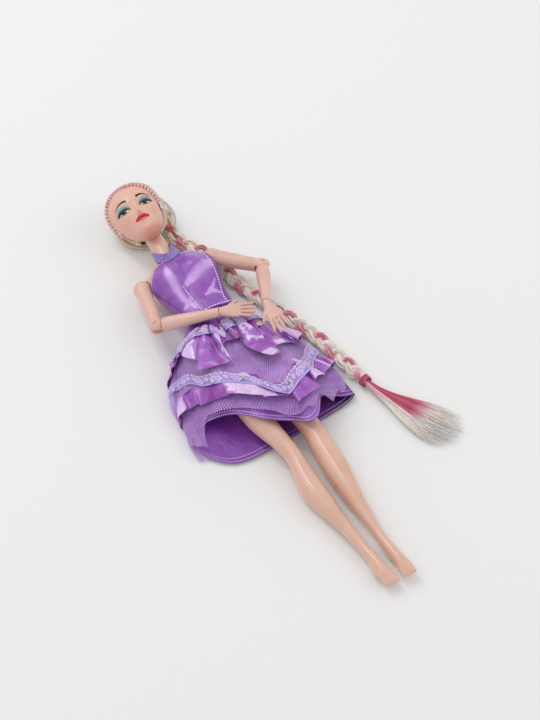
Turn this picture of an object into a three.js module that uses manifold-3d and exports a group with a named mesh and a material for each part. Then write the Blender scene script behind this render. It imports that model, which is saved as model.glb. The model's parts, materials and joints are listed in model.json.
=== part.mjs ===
// Jointed fashion doll in a halter party dress, lying on its back with both hands on its lap.
// Lengths are in millimetres. +X is the doll's left, +Y points to the crown of its head and
// +Z is up, so the front of the body faces +Z and the floor under the doll is z = 0.
// Body levels are measured along Y from just below the waist, and the finished doll is moved so
// that its origin is the middle of the skirt's flat seat on the floor, under the hips.

import * as THREE from 'three';
import { mergeVertices } from 'three/addons/utils/BufferGeometryUtils.js';
import Module from 'manifold-3d';

const wasm = await Module();
wasm.setup();

// Distance from the level origin of the body to the seat under the hips
const seatLevel = -29;

// Main sizes of the body
const torsoFoot = -38;
const torsoLength = 98;
const shoulderHalf = 21.8;
const torsoDepth = 20;
const splitHeight = 13.6;
const splitGap = 0.12;
const bustSpread = 8.4;
const bustShare = 0.70918;
const bustLevel = torsoFoot + torsoLength * bustShare;
const bustRise = 5.0;
const bustReach = 7.2;
const bodyRunning = 0.35;

// Sizes of the head and its ball joint in the neck
const neckKnobRadius = 4.6;
const knobClear = 0.148;
const neckTopShare = 1.074;
const neckPivotLevel = torsoFoot + torsoLength * neckTopShare + neckKnobRadius + knobClear;
const neckPivotHeight = 14.8;
const chinBelowSocket = 5.7;
const headFoot = neckPivotLevel - chinBelowSocket;
const headLength = 33.8;
const headHalf = 14.9;
const headDepth = 30.4;
const headSink = 3.25;
const headNod = 9;
const headTurn = -7;
const headRoll = 4;
const neckSocketRadius = 5.0;
const neckWellRadius = 6.2;
const neckWellDepth = 2.5;
const neckPegRadius = 1.9;
const neckPegDepth = 13;
const neckBoreRadius = 2.0;
const neckBoreDepth = 13.4;
const earHeight = 5.4;
const earWidth = 2.6;
const earDepth = 1.4;
const earShare = 0.37574;
const earLevel = headFoot + headLength * earShare;
const earZ = 13.8;
const earSeat = 13.6;

// Sizes of the arms, and where each arm lies
const armRadius = 5.1;
const upperArmLength = 29.6;
const forearmLength = 37.4;
const shoulderX = 22.8;
const shoulderShare = 0.76531;
const shoulderLevel = torsoFoot + torsoLength * shoulderShare;
const shoulderHeight = 13.4;
const shoulderSocket = 5.9;
const pegBallRadius = 2.6;
const pegStemRadius = 1.7;
const pegStemReach = 11;
const pegPinRadius = 0.8;
const pegPinReach = 4.2;
const runningFit = 0.1;
const elbowRadius = 4.7;
const elbowClear = 0.6;
const tongueHalf = 1.2;
const tongueClear = 0.3;
const tongueReach = 7;
const tongueWidth = 2.7;
const elbowSlotBack = 3.6;
const elbowPinRadius = 1;
const wristPegRadius = 1.5;
const wristPegLength = 4;
const wristGap = 0.3;
const handLength = 21.4;
const handHalf = 4.5;
const handThick = 1.9;
const fingerRadius = 1.1;

const waistShare = 0.41837;
const waistLevel = torsoFoot + torsoLength * waistShare;
// Ways from joint to joint, as shares of each length: toward the left, the head and the front
const rightUpperWay = [-0.2298, -0.9620, 0.1471];
const rightForeWay = [0.8429, -0.4450, 0.3026];
const rightHandWay = [0.9111, -0.4107, 0.0353];
const leftUpperWay = [0.7121, -0.7019, 0.0204];
const leftForeSlope = [-0.9186, 0.3953];
const leftHandWay = [-0.0431, -0.9984, -0.0362];
// The left wrist lies this far beside the tip of the right hand
const handsApart = 6.5;

// Sizes of the legs
const legLength = 172.8;
const thighHalf = 8.6;
const legDepth = 20;
const legSpread = 10.4;
const hipAboveFoot = 10;
const hipLevel = torsoFoot + hipAboveFoot;
const legAboveHip = 8.4;
const legFoot = hipLevel + legAboveHip - legLength;
const hipHeight = 12.8;
const hipSocket = 8.9;
const hipAxleRadius = 1.5;
const hipAxleReach = 14;

// Sizes of the dress
const clothThin = 0.4;
const bodiceThick = 0.7;
const bodiceGap = 1.0;
const layerGap = 0.4;
const skirtLength = 88;
const skirtHalf = 46;
const skirtTop = 22.4;
const skirtBack = 2.0;
const gatherCount = 5;
const liningRipple = 0.6;
const skirtColumns = 40;
const frontColumns = 18;
const satinRipple = 2.2;
const tulleRipple = 1.1;
const laceRipple = 0.5;
const strapWidth = 6.4;
const strapThick = 0.6;
const gemRadius = 1.3;
const pearlRadius = 2;

// Sizes of the hair
const capGap = 0.6;
const capThick = 1.1;
const braidWidth = 4.2;
const braidThick = 3.6;
const tailWidth = 11;
const tailThick = 2.6;
const tieWall = 1.0;
const tieInner = 2.8;
const tieLength = 3.4;

// Numbers of facets
const torsoSides = 26;
const headSides = 30;
const limbSides = 12;
const legSides = 18;
const fingerSides = 6;
const ballSides = 10;
const socketSides = 18;

const front = new THREE.Vector3(0, 0, 1);
const side = new THREE.Vector3(1, 0, 0);

const group = new THREE.Group();

function vec(values) {
  return new THREE.Vector3(...values);
}

function paint(color, roughness, metalness = 0) {
  return new THREE.MeshStandardMaterial({ color, roughness, metalness });
}

const armSkin = paint(0xd9aa9c, 0.45);
const legSkin = paint(0xd6a590, 0.3);
const faceSkin = paint(0xdca695, 0.5);
const hardPlastic = paint(0xd2a496, 0.4);
const paleHair = paint(0xe0c6a6, 0.6);
const tipHair = paint(0xd8a0a8, 0.6);
const elastic = paint(0xb03a60, 0.7);
const satin = paint(0x8c4ba5, 0.35);
const lilacSatin = paint(0xb07fd0, 0.35);
const ribbon = paint(0x7d64af, 0.7);
const tulle = paint(0x9a68bc, 0.8);
const lace = paint(0xb9a0e1, 0.8);
const liningCloth = paint(0x6a2388, 0.6);
const hookTape = paint(0x9a86b8, 0.9);
const crystal = paint(0xd8e4ea, 0.15);
const gold = paint(0xd0aa55, 0.3, 0.8);

function add(name, geometry, material) {
  const mesh = new THREE.Mesh(geometry, material);
  mesh.name = name;
  group.add(mesh);
  return mesh;
}

// Closed solids from points and triangles

function signedVolume(points, faces) {
  let sum = 0;
  for (const [a, b, c] of faces) {
    sum += points[a].dot(points[b].clone().cross(points[c]));
  }
  return sum / 6;
}

function solidOf(points, faces) {
  const inside = signedVolume(points, faces) < 0;
  const order = faces.flatMap(([a, b, c]) => (inside ? [a, c, b] : [a, b, c]));
  const geometry = new THREE.BufferGeometry();
  const numbers = points.flatMap((p) => [p.x, p.y, p.z]);
  geometry.setAttribute('position', new THREE.Float32BufferAttribute(numbers, 3));
  geometry.setIndex(order);
  return geometry;
}

function ringSolid(rings) {
  const count = rings[0].length;
  const points = rings.flat();
  const faces = [];
  for (let k = 0; k + 1 < rings.length; k += 1) {
    for (let i = 0; i < count; i += 1) {
      const j = (i + 1) % count;
      faces.push([k * count + i, k * count + j, (k + 1) * count + j]);
      faces.push([k * count + i, (k + 1) * count + j, (k + 1) * count + i]);
    }
  }
  const last = (rings.length - 1) * count;
  for (const [start, flip] of [[0, true], [last, false]]) {
    const middle = points.length;
    const centre = new THREE.Vector3();
    for (let i = 0; i < count; i += 1) centre.addScaledVector(points[start + i], 1 / count);
    points.push(centre);
    for (let i = 0; i < count; i += 1) {
      const j = (i + 1) % count;
      const face = [middle, start + i, start + j];
      faces.push(flip ? face.reverse() : face);
    }
  }
  return solidOf(points, faces);
}

function sheetSolid(outer, inner, closed) {
  const columns = outer.length;
  const rows = outer[0].length;
  const points = [...outer.flat(), ...inner.flat()];
  const shift = columns * rows;
  const faces = [];
  const quad = (a, b, c, d) => faces.push([a, b, c], [a, c, d]);
  const at = (i, j) => (i % columns) * rows + j;
  const spans = closed ? columns : columns - 1;
  for (let i = 0; i < spans; i += 1) {
    for (let j = 0; j + 1 < rows; j += 1) {
      quad(at(i, j), at(i + 1, j), at(i + 1, j + 1), at(i, j + 1));
      quad(shift + at(i, j), shift + at(i, j + 1), shift + at(i + 1, j + 1), shift + at(i + 1, j));
    }
    quad(at(i, 0), shift + at(i, 0), shift + at(i + 1, 0), at(i + 1, 0));
    const top = rows - 1;
    quad(at(i, top), at(i + 1, top), shift + at(i + 1, top), shift + at(i, top));
  }
  if (!closed) {
    for (let j = 0; j + 1 < rows; j += 1) {
      const far = columns - 1;
      quad(at(0, j), at(0, j + 1), shift + at(0, j + 1), shift + at(0, j));
      quad(at(far, j), shift + at(far, j), shift + at(far, j + 1), at(far, j + 1));
    }
  }
  return solidOf(points, faces);
}

function toSolid(geometry) {
  const clean = geometry.clone();
  clean.deleteAttribute('normal');
  clean.deleteAttribute('uv');
  const merged = mergeVertices(clean, 1e-4);
  return new wasm.Manifold(new wasm.Mesh({
    numProp: 3,
    vertProperties: new Float32Array(merged.attributes.position.array),
    triVerts: new Uint32Array(merged.index.array),
  }));
}

function toGeometry(solid) {
  const mesh = solid.getMesh();
  const geometry = new THREE.BufferGeometry();
  geometry.setAttribute('position', new THREE.BufferAttribute(mesh.vertProperties, 3));
  geometry.setIndex(new THREE.BufferAttribute(mesh.triVerts, 1));
  return geometry;
}

function ball(centre, radius, sides = ballSides) {
  const shape = new THREE.SphereGeometry(radius, sides, Math.round(sides / 2));
  shape.translate(centre.x, centre.y, centre.z);
  return toSolid(shape);
}

function rod(from, to, radius, sides = ballSides) {
  const along = to.clone().sub(from);
  const shape = new THREE.CylinderGeometry(radius, radius, along.length(), sides);
  const turn = new THREE.Quaternion().setFromUnitVectors(
    new THREE.Vector3(0, 1, 0), along.clone().normalize());
  shape.applyQuaternion(turn);
  const middle = from.clone().add(to).multiplyScalar(0.5);
  shape.translate(middle.x, middle.y, middle.z);
  return toSolid(shape);
}

function block(centre, axes, halves) {
  const shape = new THREE.BoxGeometry(...halves.map((half) => half * 2));
  shape.applyMatrix4(new THREE.Matrix4().makeBasis(...axes));
  shape.translate(centre.x, centre.y, centre.z);
  return toSolid(shape);
}

// Smooth reading of a table whose first column is the position

function smoothTable(rows) {
  const slope = (k, c) => {
    const low = rows[Math.max(k - 1, 0)];
    const high = rows[Math.min(k + 1, rows.length - 1)];
    return (high[c] - low[c]) / (high[0] - low[0]);
  };
  return (position) => {
    let k = 0;
    while (k < rows.length - 2 && position > rows[k + 1][0]) k += 1;
    const span = rows[k + 1][0] - rows[k][0];
    const t = THREE.MathUtils.clamp((position - rows[k][0]) / span, 0, 1);
    const t2 = t * t;
    const t3 = t2 * t;
    return rows[k].slice(1).map((value, index) => {
      const c = index + 1;
      return (2 * t3 - 3 * t2 + 1) * value
        + (t3 - 2 * t2 + t) * span * slope(k, c)
        + (3 * t2 - 2 * t3) * rows[k + 1][c]
        + (t3 - t2) * span * slope(k + 1, c);
    });
  };
}

function scaled(shares, start, sizes) {
  return shares.map(([at, ...rest]) => [
    start + at * sizes[0],
    ...rest.map((share, index) => share * sizes[index + 1]),
  ]);
}

function roundPower(value, power) {
  return Math.sign(value) * Math.abs(value) ** power;
}

const bodyRoundness = 0.92;
const headRoundness = 0.95;
const legRoundness = 0.96;

function sectionPoint(x, y, [half, high, low], turn, power = bodyRoundness) {
  const middle = (high + low) / 2;
  const deep = (high - low) / 2;
  return new THREE.Vector3(
    x + half * roundPower(Math.sin(turn), power),
    y,
    middle + deep * roundPower(Math.cos(turn), power));
}

function normalAt(surface, u, v, du = 1e-3, dv = 1e-2) {
  const a = surface(u + du, v).sub(surface(u - du, v));
  const b = surface(u, v + dv).sub(surface(u, v - dv));
  return a.cross(b).normalize();
}

// Torso with neck, in a front and a back half
// Each row: share of the length, half width, height of the front, height of the back

const torsoShares = [
  [0.000, 0.619, 1.000, 0.270],
  [0.026, 0.743, 1.070, 0.200],
  [0.071, 0.817, 1.115, 0.160],
  [0.133, 0.844, 1.130, 0.145],
  [0.204, 0.817, 1.115, 0.150],
  [0.286, 0.725, 1.070, 0.210],
  [0.367, 0.606, 1.020, 0.280],
  [0.439, 0.555, 0.990, 0.310],
  [0.500, 0.564, 1.000, 0.290],
  [0.571, 0.642, 1.040, 0.220],
  [0.643, 0.743, 1.070, 0.145],
  [0.704, 0.835, 1.070, 0.115],
  [0.755, 0.945, 1.040, 0.130],
  [0.796, 0.936, 0.990, 0.170],
  [0.832, 0.734, 0.950, 0.230],
  [0.862, 0.459, 0.930, 0.310],
  [0.888, 0.303, 0.925, 0.380],
  [0.929, 0.243, 0.935, 0.440],
  [1.000, 0.234, 0.965, 0.475],
  [neckTopShare, 0.225, 0.985, 0.510],
];
const torsoRows = scaled(torsoShares, torsoFoot, [torsoLength, shoulderHalf, torsoDepth, torsoDepth]);
const torsoTable = smoothTable(torsoRows);

function torsoSurface(turn, y) {
  const point = sectionPoint(0, y, torsoTable(y), turn);
  const away = ((Math.abs(point.x) - bustSpread) / bustReach) ** 2
    + ((y - bustLevel) / bustReach) ** 2;
  point.z += bustRise * Math.exp(-away) * Math.max(0, Math.cos(turn)) ** 0.5;
  return point;
}

function ringOf(surface, level, sides) {
  const ring = [];
  for (let i = 0; i < sides; i += 1) ring.push(surface((i / sides) * 2 * Math.PI, level));
  return ring;
}

const shoulder = {
  right: new THREE.Vector3(-shoulderX, shoulderLevel, shoulderHeight),
  left: new THREE.Vector3(shoulderX, shoulderLevel, shoulderHeight),
};
const hip = {
  right: new THREE.Vector3(-legSpread, hipLevel, hipHeight),
  left: new THREE.Vector3(legSpread, hipLevel, hipHeight),
};
const neckPivot = new THREE.Vector3(0, neckPivotLevel, neckPivotHeight);

function buildTorso() {
  const levels = torsoRows.map((row) => row[0]);
  const fine = [];
  levels.forEach((level, k) => {
    fine.push(level);
    const bust = Math.abs(level - bustLevel) < bustReach;
    if (bust && k + 1 < levels.length) fine.push((level + levels[k + 1]) / 2);
  });
  let body = toSolid(ringSolid(fine.map((y) => ringOf(torsoSurface, y, torsoSides))));
  for (const place of Object.values(shoulder)) {
    body = body.subtract(ball(place, shoulderSocket));
    const inward = new THREE.Vector3(Math.sign(place.x) * pegStemReach, place.y, place.z);
    body = body.subtract(rod(place, inward, pegStemRadius + runningFit));
  }
  const thighClear = hipSocket - bodyRunning;
  for (const place of Object.values(hip)) {
    body = body.subtract(ball(place, hipSocket, socketSides));
    const far = torsoDepth * 2;
    const belowFront = place.clone().add(new THREE.Vector3(0, -far, far));
    body = body.subtract(block(belowFront, [side, vec([0, 1, 0]), front], [thighClear, far, far]));
    body = body.subtract(rod(place, place.clone().setY(place.y - far), thighClear, socketSides));
    body = body.subtract(rod(place, place.clone().setZ(place.z + far), thighClear, socketSides));
  }
  const axleEnd = hipAxleReach + bodyRunning;
  body = body.subtract(rod(
    new THREE.Vector3(-axleEnd, hipLevel, hipHeight),
    new THREE.Vector3(axleEnd, hipLevel, hipHeight),
    hipAxleRadius + runningFit));
  body = body.subtract(rod(
    neckPivot, neckPivot.clone().setY(neckPivot.y - neckBoreDepth), neckBoreRadius));
  const wide = torsoLength * 2;
  const half = (direction) => body.intersect(block(
    new THREE.Vector3(0, 0, splitHeight + direction * (wide + splitGap / 2)),
    [side, vec([0, 1, 0]), front], [wide, wide, wide]));
  add('torso_front', toGeometry(half(1)), hardPlastic);
  add('torso_back', toGeometry(half(-1)), hardPlastic);
}
buildTorso();

// Neck knob on its peg: it turns in the neck, and the head nods on it

add('neck_knob', toGeometry(ball(neckPivot, neckKnobRadius).add(rod(
  neckPivot, neckPivot.clone().setY(neckPivot.y - neckPegDepth), neckPegRadius))), hardPlastic);

// Head with the modelled face
// Each row: share of the height, half width, height of the face, height of the back

const headShares = [
  [0.000, 0.159, 1.018, 0.906],
  [0.028, 0.317, 1.059, 0.806],
  [0.073, 0.488, 1.088, 0.618],
  [0.128, 0.646, 1.100, 0.397],
  [0.196, 0.768, 1.109, 0.271],
  [0.277, 0.854, 1.115, 0.194],
  [0.374, 0.927, 1.118, 0.153],
  [0.486, 0.976, 1.118, 0.138],
  [0.598, 1.000, 1.124, 0.144],
  [0.709, 0.970, 1.106, 0.176],
  [0.807, 0.872, 1.053, 0.235],
  [0.888, 0.707, 0.971, 0.324],
  [0.950, 0.488, 0.865, 0.429],
  [0.989, 0.220, 0.747, 0.547],
];
const headRows = scaled(headShares, headFoot, [headLength, headHalf, headDepth, headDepth]);
const headTable = smoothTable(headRows.map(([y, half, high, low]) => [
  y, half, high - headSink, low - headSink]));

// Face features, each row: share of the half width, share of the height, rise, reach across,
// reach along, all lengths as shares of the half width
const faceShares = [
  [0.00, 0.335, 0.150, 0.10, 0.08],
  [0.00, 0.400, 0.085, 0.07, 0.14],
  [0.36, 0.465, -0.075, 0.22, 0.13],
  [-0.36, 0.465, -0.075, 0.22, 0.13],
  [0.00, 0.215, 0.060, 0.18, 0.05],
  [0.00, 0.165, 0.055, 0.14, 0.05],
  [0.00, 0.050, 0.090, 0.20, 0.10],
  [0.52, 0.28, 0.050, 0.22, 0.20],
  [-0.52, 0.28, 0.050, 0.22, 0.20],
  [0.10, 0.320, 0.040, 0.05, 0.04],
  [-0.10, 0.320, 0.040, 0.05, 0.04],
];

function headSurface(turn, y) {
  const point = sectionPoint(0, y, headTable(y), turn, headRoundness);
  const across = point.x / headHalf;
  const along = (y - headFoot) / headHalf;
  let rise = 0;
  for (const [x, share, height, wide, tall] of faceShares) {
    const dx = (across - x) / wide;
    const dy = (along - share * headLength / headHalf) / tall;
    rise += height * Math.exp(-dx * dx - dy * dy);
  }
  point.z += rise * headHalf * Math.max(0, Math.cos(turn)) ** 0.6;
  return point;
}

// The facets stand closer on the face than on the back of the head
const facetCrowding = 0.42;
const headLevelShares = [0, 0.03, 0.07, 0.11, 0.14, 0.165, 0.19, 0.215, 0.25, 0.29, 0.33, 0.37,
  0.42, 0.47, 0.52, 0.59, 0.67, 0.75, 0.83, 0.89, 0.94, 0.97, 0.989];
const earSides = 10;
const earNodDegrees = 14;
const earTurnDegrees = 20;

function headTurns() {
  const turns = [];
  for (let i = 0; i < headSides; i += 1) {
    const t = (i / headSides) * 2 * Math.PI;
    turns.push(t - facetCrowding * Math.sin(t));
  }
  return turns;
}

function poseHead(geometry) {
  const turn = new THREE.Matrix4().makeRotationY(THREE.MathUtils.degToRad(headTurn));
  const nod = new THREE.Matrix4().makeRotationX(THREE.MathUtils.degToRad(headNod));
  const roll = new THREE.Matrix4().makeRotationZ(THREE.MathUtils.degToRad(headRoll));
  const home = new THREE.Matrix4().makeTranslation(neckPivot.x, neckPivot.y, neckPivot.z);
  const away = home.clone().invert();
  const pose = home.multiply(roll).multiply(nod).multiply(turn).multiply(away);
  return geometry.applyMatrix4(pose);
}

function buildHead() {
  const rings = headLevelShares.map((share) => headTurns().map(
    (turn) => headSurface(turn, headFoot + share * headLength)));
  let solid = toSolid(poseHead(ringSolid(rings)));
  for (const direction of [-1, 1]) {
    const shape = new THREE.SphereGeometry(1, earSides, earSides - 2);
    shape.scale(earDepth, earHeight / 2, earWidth);
    shape.rotateX(THREE.MathUtils.degToRad(earNodDegrees));
    shape.rotateY(direction * THREE.MathUtils.degToRad(earTurnDegrees));
    shape.translate(direction * earSeat, earLevel, earZ);
    solid = solid.add(toSolid(poseHead(shape)));
  }
  solid = solid.subtract(ball(neckPivot, neckSocketRadius));
  const wellTop = neckPivot.clone().setY(neckPivot.y - neckWellDepth);
  solid = solid.subtract(rod(
    wellTop, wellTop.clone().setY(wellTop.y - headHalf), neckWellRadius, socketSides));
  add('head', toGeometry(solid), faceSkin);
}
buildHead();

// Hair cap over the back of the head, from the hairline to the nape
// Each row: share of the head's height, half angle of the bare front in degrees, and thickness
// of the gathered hair at the back and at the sides, as shares of the cap's thickness

const hairlineShares = [
  [0.10, 138, 1.3, 3.4],
  [0.20, 122, 1.5, 3.6],
  [0.34, 117, 1.7, 3.4],
  [0.50, 104, 1.8, 2.4],
  [0.65, 88, 1.9, 1.5],
  [0.80, 76, 1.7, 1.1],
  [0.90, 62, 1.4, 1.0],
  [0.955, 42, 1.1, 1.0],
  [0.989, 18, 1.0, 1.0],
];
const hairline = smoothTable(hairlineShares);
const capEdgeShare = 0.3;
const capEdgeSlope = 5;
const capColumns = 18;
const capLevelShares = [0.17, 0.25, 0.33, 0.42, 0.52, 0.67, 0.8, 0.89, 0.94, 0.98];

function buildHairCap() {
  const outer = [];
  const inner = [];
  for (let i = 0; i <= capColumns; i += 1) {
    const share = i / capColumns;
    const out = [];
    const into = [];
    for (const level of capLevelShares) {
      const y = headFoot + level * headLength;
      const [degrees, back, beside] = hairline(level);
      const bare = THREE.MathUtils.degToRad(degrees);
      const turn = bare + share * 2 * (Math.PI - bare);
      const point = headSurface(turn, y);
      const normal = normalAt(headSurface, turn, y);
      const edge = Math.min(1, capEdgeShare + capEdgeSlope * Math.min(share, 1 - share));
      const bulk = beside + (back - beside) * Math.abs(Math.cos(turn)) ** 2;
      out.push(point.clone().addScaledVector(normal, capGap + capThick * edge * bulk));
      into.push(point.clone().addScaledVector(normal, capGap));
    }
    outer.push(out);
    inner.push(into);
  }
  add('hair_cap', poseHead(sheetSolid(outer, inner, false)), paleHair);
}
buildHairCap();

// Limbs: sections along a straight line
// Each row: share of the length, half width, half depth

function limbSolid(start, along, across, rows, sides = limbSides) {
  const up = along.clone().cross(across).normalize();
  return toSolid(ringSolid(rows.map(([at, half, deep]) => {
    const ring = [];
    for (let i = 0; i < sides; i += 1) {
      const turn = (i / sides) * 2 * Math.PI;
      ring.push(start.clone()
        .addScaledVector(along, at)
        .addScaledVector(across, half * Math.sin(turn))
        .addScaledVector(up, deep * Math.cos(turn)));
    }
    return ring;
  })));
}

const upperArmShares = [
  [-0.170, 0.25, 0.25],
  [-0.150, 0.50, 0.50],
  [-0.105, 0.80, 0.80],
  [-0.050, 0.96, 0.96],
  [0.000, 1.00, 1.00],
  [0.060, 0.96, 0.96],
  [0.120, 0.89, 0.90],
  [0.220, 0.87, 0.89],
  [0.420, 0.86, 0.88],
  [0.620, 0.82, 0.84],
  [0.780, 0.79, 0.80],
  [0.880, 0.79, 0.79],
  [0.950, 0.87, 0.87],
  [1.000, 0.904, 0.904],
  [1.055, 0.86, 0.86],
  [1.105, 0.68, 0.68],
  [1.140, 0.42, 0.42],
  [1.155, 0.20, 0.20],
];
const forearmShares = [
  [0.050, 0.64, 0.64],
  [0.110, 0.75, 0.75],
  [0.190, 0.83, 0.81],
  [0.320, 0.81, 0.78],
  [0.520, 0.71, 0.69],
  [0.760, 0.60, 0.58],
  [0.900, 0.56, 0.53],
  [1.000, 0.55, 0.52],
];
const palmShares = [
  [0.000, 0.58, 1.30],
  [0.070, 0.62, 1.25],
  [0.180, 0.80, 1.10],
  [0.330, 0.98, 0.95],
  [0.460, 1.00, 0.80],
  [0.540, 0.94, 0.62],
];
// Fingers, each row: share of the palm's half width, spread in degrees, length, thickness
const fingerShares = [
  [0.74, 7, 0.40, 0.98],
  [0.26, 2, 0.47, 1.00],
  [-0.23, -3, 0.44, 0.98],
  [-0.70, -9, 0.34, 0.88],
];
const fingerTaperShares = [
  [0.000, 0.95, 0.95],
  [0.320, 1.05, 1.05],
  [0.750, 0.90, 0.88],
  [0.950, 0.62, 0.56],
  [1.000, 0.25, 0.22],
];
const fingerRootShare = 0.50;
const fingerDropShare = 0.16;
const thumbRootShare = 0.20;
const thumbOutShare = 0.66;
const thumbDegrees = 34;
const thumbLengthShare = 0.40;
const thumbThickShare = 1.12;

function fingerSolid(start, along, across, length, thick) {
  const radius = fingerRadius * thick;
  const rows = scaled(fingerTaperShares, 0, [length, radius, radius]);
  return limbSolid(start, along, across, rows, fingerSides);
}

function handSolid(wrist, along, across, thumbSide, forearmLine) {
  const toThumb = across.clone().multiplyScalar(thumbSide);
  const down = toThumb.clone().cross(along).normalize().multiplyScalar(thumbSide);
  const rows = scaled(palmShares, 0, [handLength, handHalf, handThick]);
  let solid = toSolid(ringSolid(rows.map(([at, half, deep], k) => {
    const line = forearmLine.clone().lerp(along, Math.min(1, k / 2)).normalize();
    const wide = across.clone().addScaledVector(line, -across.dot(line)).normalize();
    const up = line.clone().cross(wide);
    const ring = [];
    for (let i = 0; i < limbSides; i += 1) {
      const turn = (i / limbSides) * 2 * Math.PI;
      ring.push(wrist.clone()
        .addScaledVector(along, at)
        .addScaledVector(wide, half * Math.sin(turn))
        .addScaledVector(up, deep * Math.cos(turn)));
    }
    return ring;
  })));
  for (const [place, spread, length, thick] of fingerShares) {
    const angle = THREE.MathUtils.degToRad(spread);
    const direction = along.clone().multiplyScalar(Math.cos(angle))
      .addScaledVector(toThumb, Math.sin(angle))
      .addScaledVector(down, fingerDropShare).normalize();
    const start = wrist.clone()
      .addScaledVector(along, fingerRootShare * handLength)
      .addScaledVector(toThumb, place * handHalf);
    solid = solid.add(fingerSolid(start, direction, across, length * handLength, thick));
  }
  const angle = THREE.MathUtils.degToRad(thumbDegrees);
  const direction = along.clone().multiplyScalar(Math.cos(angle))
    .addScaledVector(toThumb, Math.sin(angle))
    .addScaledVector(down, fingerDropShare).normalize();
  const start = wrist.clone()
    .addScaledVector(along, thumbRootShare * handLength)
    .addScaledVector(toThumb, thumbOutShare * handHalf);
  solid = solid.add(fingerSolid(start, direction, across, thumbLengthShare * handLength, thumbThickShare));
  const pegEnd = wrist.clone().addScaledVector(forearmLine, -wristPegLength);
  const pegRoot = wrist.clone().addScaledVector(forearmLine, handThick);
  return solid.add(rod(pegEnd, pegRoot, wristPegRadius));
}

function buildArm(name, place, elbow, wrist, reach, sideSign) {
  const upper = elbow.clone().sub(place).normalize();
  const lower = wrist.clone().sub(elbow).normalize();
  const pinAxis = upper.clone().cross(lower).normalize();
  const peg = ball(place, pegBallRadius)
    .add(rod(place, place.clone().setX(sideSign * (pegStemReach + bodyRunning)), pegStemRadius))
    .add(rod(
      place.clone().setZ(place.z - pegPinReach),
      place.clone().setZ(place.z + pegPinReach), pegPinRadius));
  add(`shoulder_peg_${name}`, toGeometry(peg), hardPlastic);

  const upperRows = scaled(upperArmShares, 0, [upperArmLength, armRadius, armRadius]);
  let arm = limbSolid(place, upper, pinAxis, upperRows);
  arm = arm.subtract(ball(place, pegBallRadius + bodyRunning));
  const pinTop = place.clone().setZ(place.z + pegPinReach + bodyRunning);
  const pinFoot = place.clone().setZ(place.z - pegPinReach - bodyRunning);
  arm = arm.subtract(rod(pinFoot, pinTop, pegPinRadius + runningFit));
  const slotHalf = pegStemRadius + bodyRunning;
  const swing = Math.PI / 2;
  const steps = 3;
  const hang = Math.atan2(upper.x * sideSign, -upper.y);
  for (let k = 0; k <= steps; k += 1) {
    const lift = hang - swing * (k / steps);
    const axis = new THREE.Vector3(-sideSign * Math.cos(lift), -Math.sin(lift), 0);
    const acrossSlot = new THREE.Vector3(-axis.y, axis.x, 0);
    const centre = place.clone().addScaledVector(axis, armRadius);
    arm = arm.subtract(block(centre, [axis, acrossSlot, front], [armRadius, slotHalf, slotHalf]));
  }
  const slotReach = 2 * elbowRadius;
  const slotCentre = elbow.clone().addScaledVector(upper, slotReach - elbowSlotBack);
  arm = arm.subtract(block(slotCentre, [upper, pinAxis, upper.clone().cross(pinAxis)],
    [slotReach, tongueHalf + tongueClear, slotReach]));
  const pinReach = elbowRadius - bodyRunning / 2;
  const pinA = elbow.clone().addScaledVector(pinAxis, -pinReach);
  const pinB = elbow.clone().addScaledVector(pinAxis, pinReach);
  const longA = elbow.clone().addScaledVector(pinAxis, -slotReach);
  const longB = elbow.clone().addScaledVector(pinAxis, slotReach);
  const pinHole = rod(longA, longB, elbowPinRadius + runningFit);
  add(`upper_arm_${name}`, toGeometry(arm.subtract(pinHole)), armSkin);
  add(`elbow_pin_${name}`, toGeometry(rod(pinA, pinB, elbowPinRadius)), hardPlastic);

  const lowerRows = scaled(forearmShares, 0, [forearmLength - wristGap, armRadius, armRadius]);
  let forearm = limbSolid(elbow, lower, pinAxis, lowerRows);
  forearm = forearm.subtract(ball(elbow, elbowRadius + elbowClear, socketSides));
  const tongueAxes = [lower, pinAxis, lower.clone().cross(pinAxis)];
  const tongueCentre = elbow.clone().addScaledVector(lower, tongueReach / 2);
  forearm = forearm.add(block(tongueCentre, tongueAxes,
    [tongueReach / 2, tongueHalf, tongueWidth]));
  const discA = elbow.clone().addScaledVector(pinAxis, -tongueHalf);
  const discB = elbow.clone().addScaledVector(pinAxis, tongueHalf);
  forearm = forearm.add(rod(discA, discB, tongueWidth, socketSides)).subtract(pinHole);
  const boreEnd = wrist.clone().addScaledVector(lower, -wristPegLength - bodyRunning);
  const mouth = wrist.clone().addScaledVector(lower, wristPegLength);
  forearm = forearm.subtract(rod(boreEnd, mouth, wristPegRadius + runningFit));
  add(`forearm_${name}`, toGeometry(forearm), armSkin);

  const across = front.clone().cross(reach).normalize();
  const hand = handSolid(wrist, reach, across, sideSign === 1 ? -1 : 1, lower);
  add(`hand_${name}`, toGeometry(hand), armSkin);
}

function limbEnd(from, way, length) {
  return from.clone().addScaledVector(vec(way).normalize(), length);
}

function buildArms() {
  const rightElbow = limbEnd(shoulder.right, rightUpperWay, upperArmLength);
  const rightWrist = limbEnd(rightElbow, rightForeWay, forearmLength);
  const rightTip = limbEnd(rightWrist, rightHandWay, handLength);
  buildArm('right', shoulder.right, rightElbow, rightWrist, vec(rightHandWay).normalize(), -1);

  const leftElbow = limbEnd(shoulder.left, leftUpperWay, upperArmLength);
  const acrossShare = (rightTip.x + handsApart - leftElbow.x) / forearmLength;
  const downShare = Math.sqrt(1 - acrossShare ** 2);
  const leftForeWay = [acrossShare, ...leftForeSlope.map((share) => share * downShare)];
  const leftWrist = limbEnd(leftElbow, leftForeWay, forearmLength);
  buildArm('left', shoulder.left, leftElbow, leftWrist, vec(leftHandWay).normalize(), 1);
}
buildArms();

// Legs with arched bare feet
// Each row: share of the length from the toes, half width, height of the front, of the back

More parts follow.
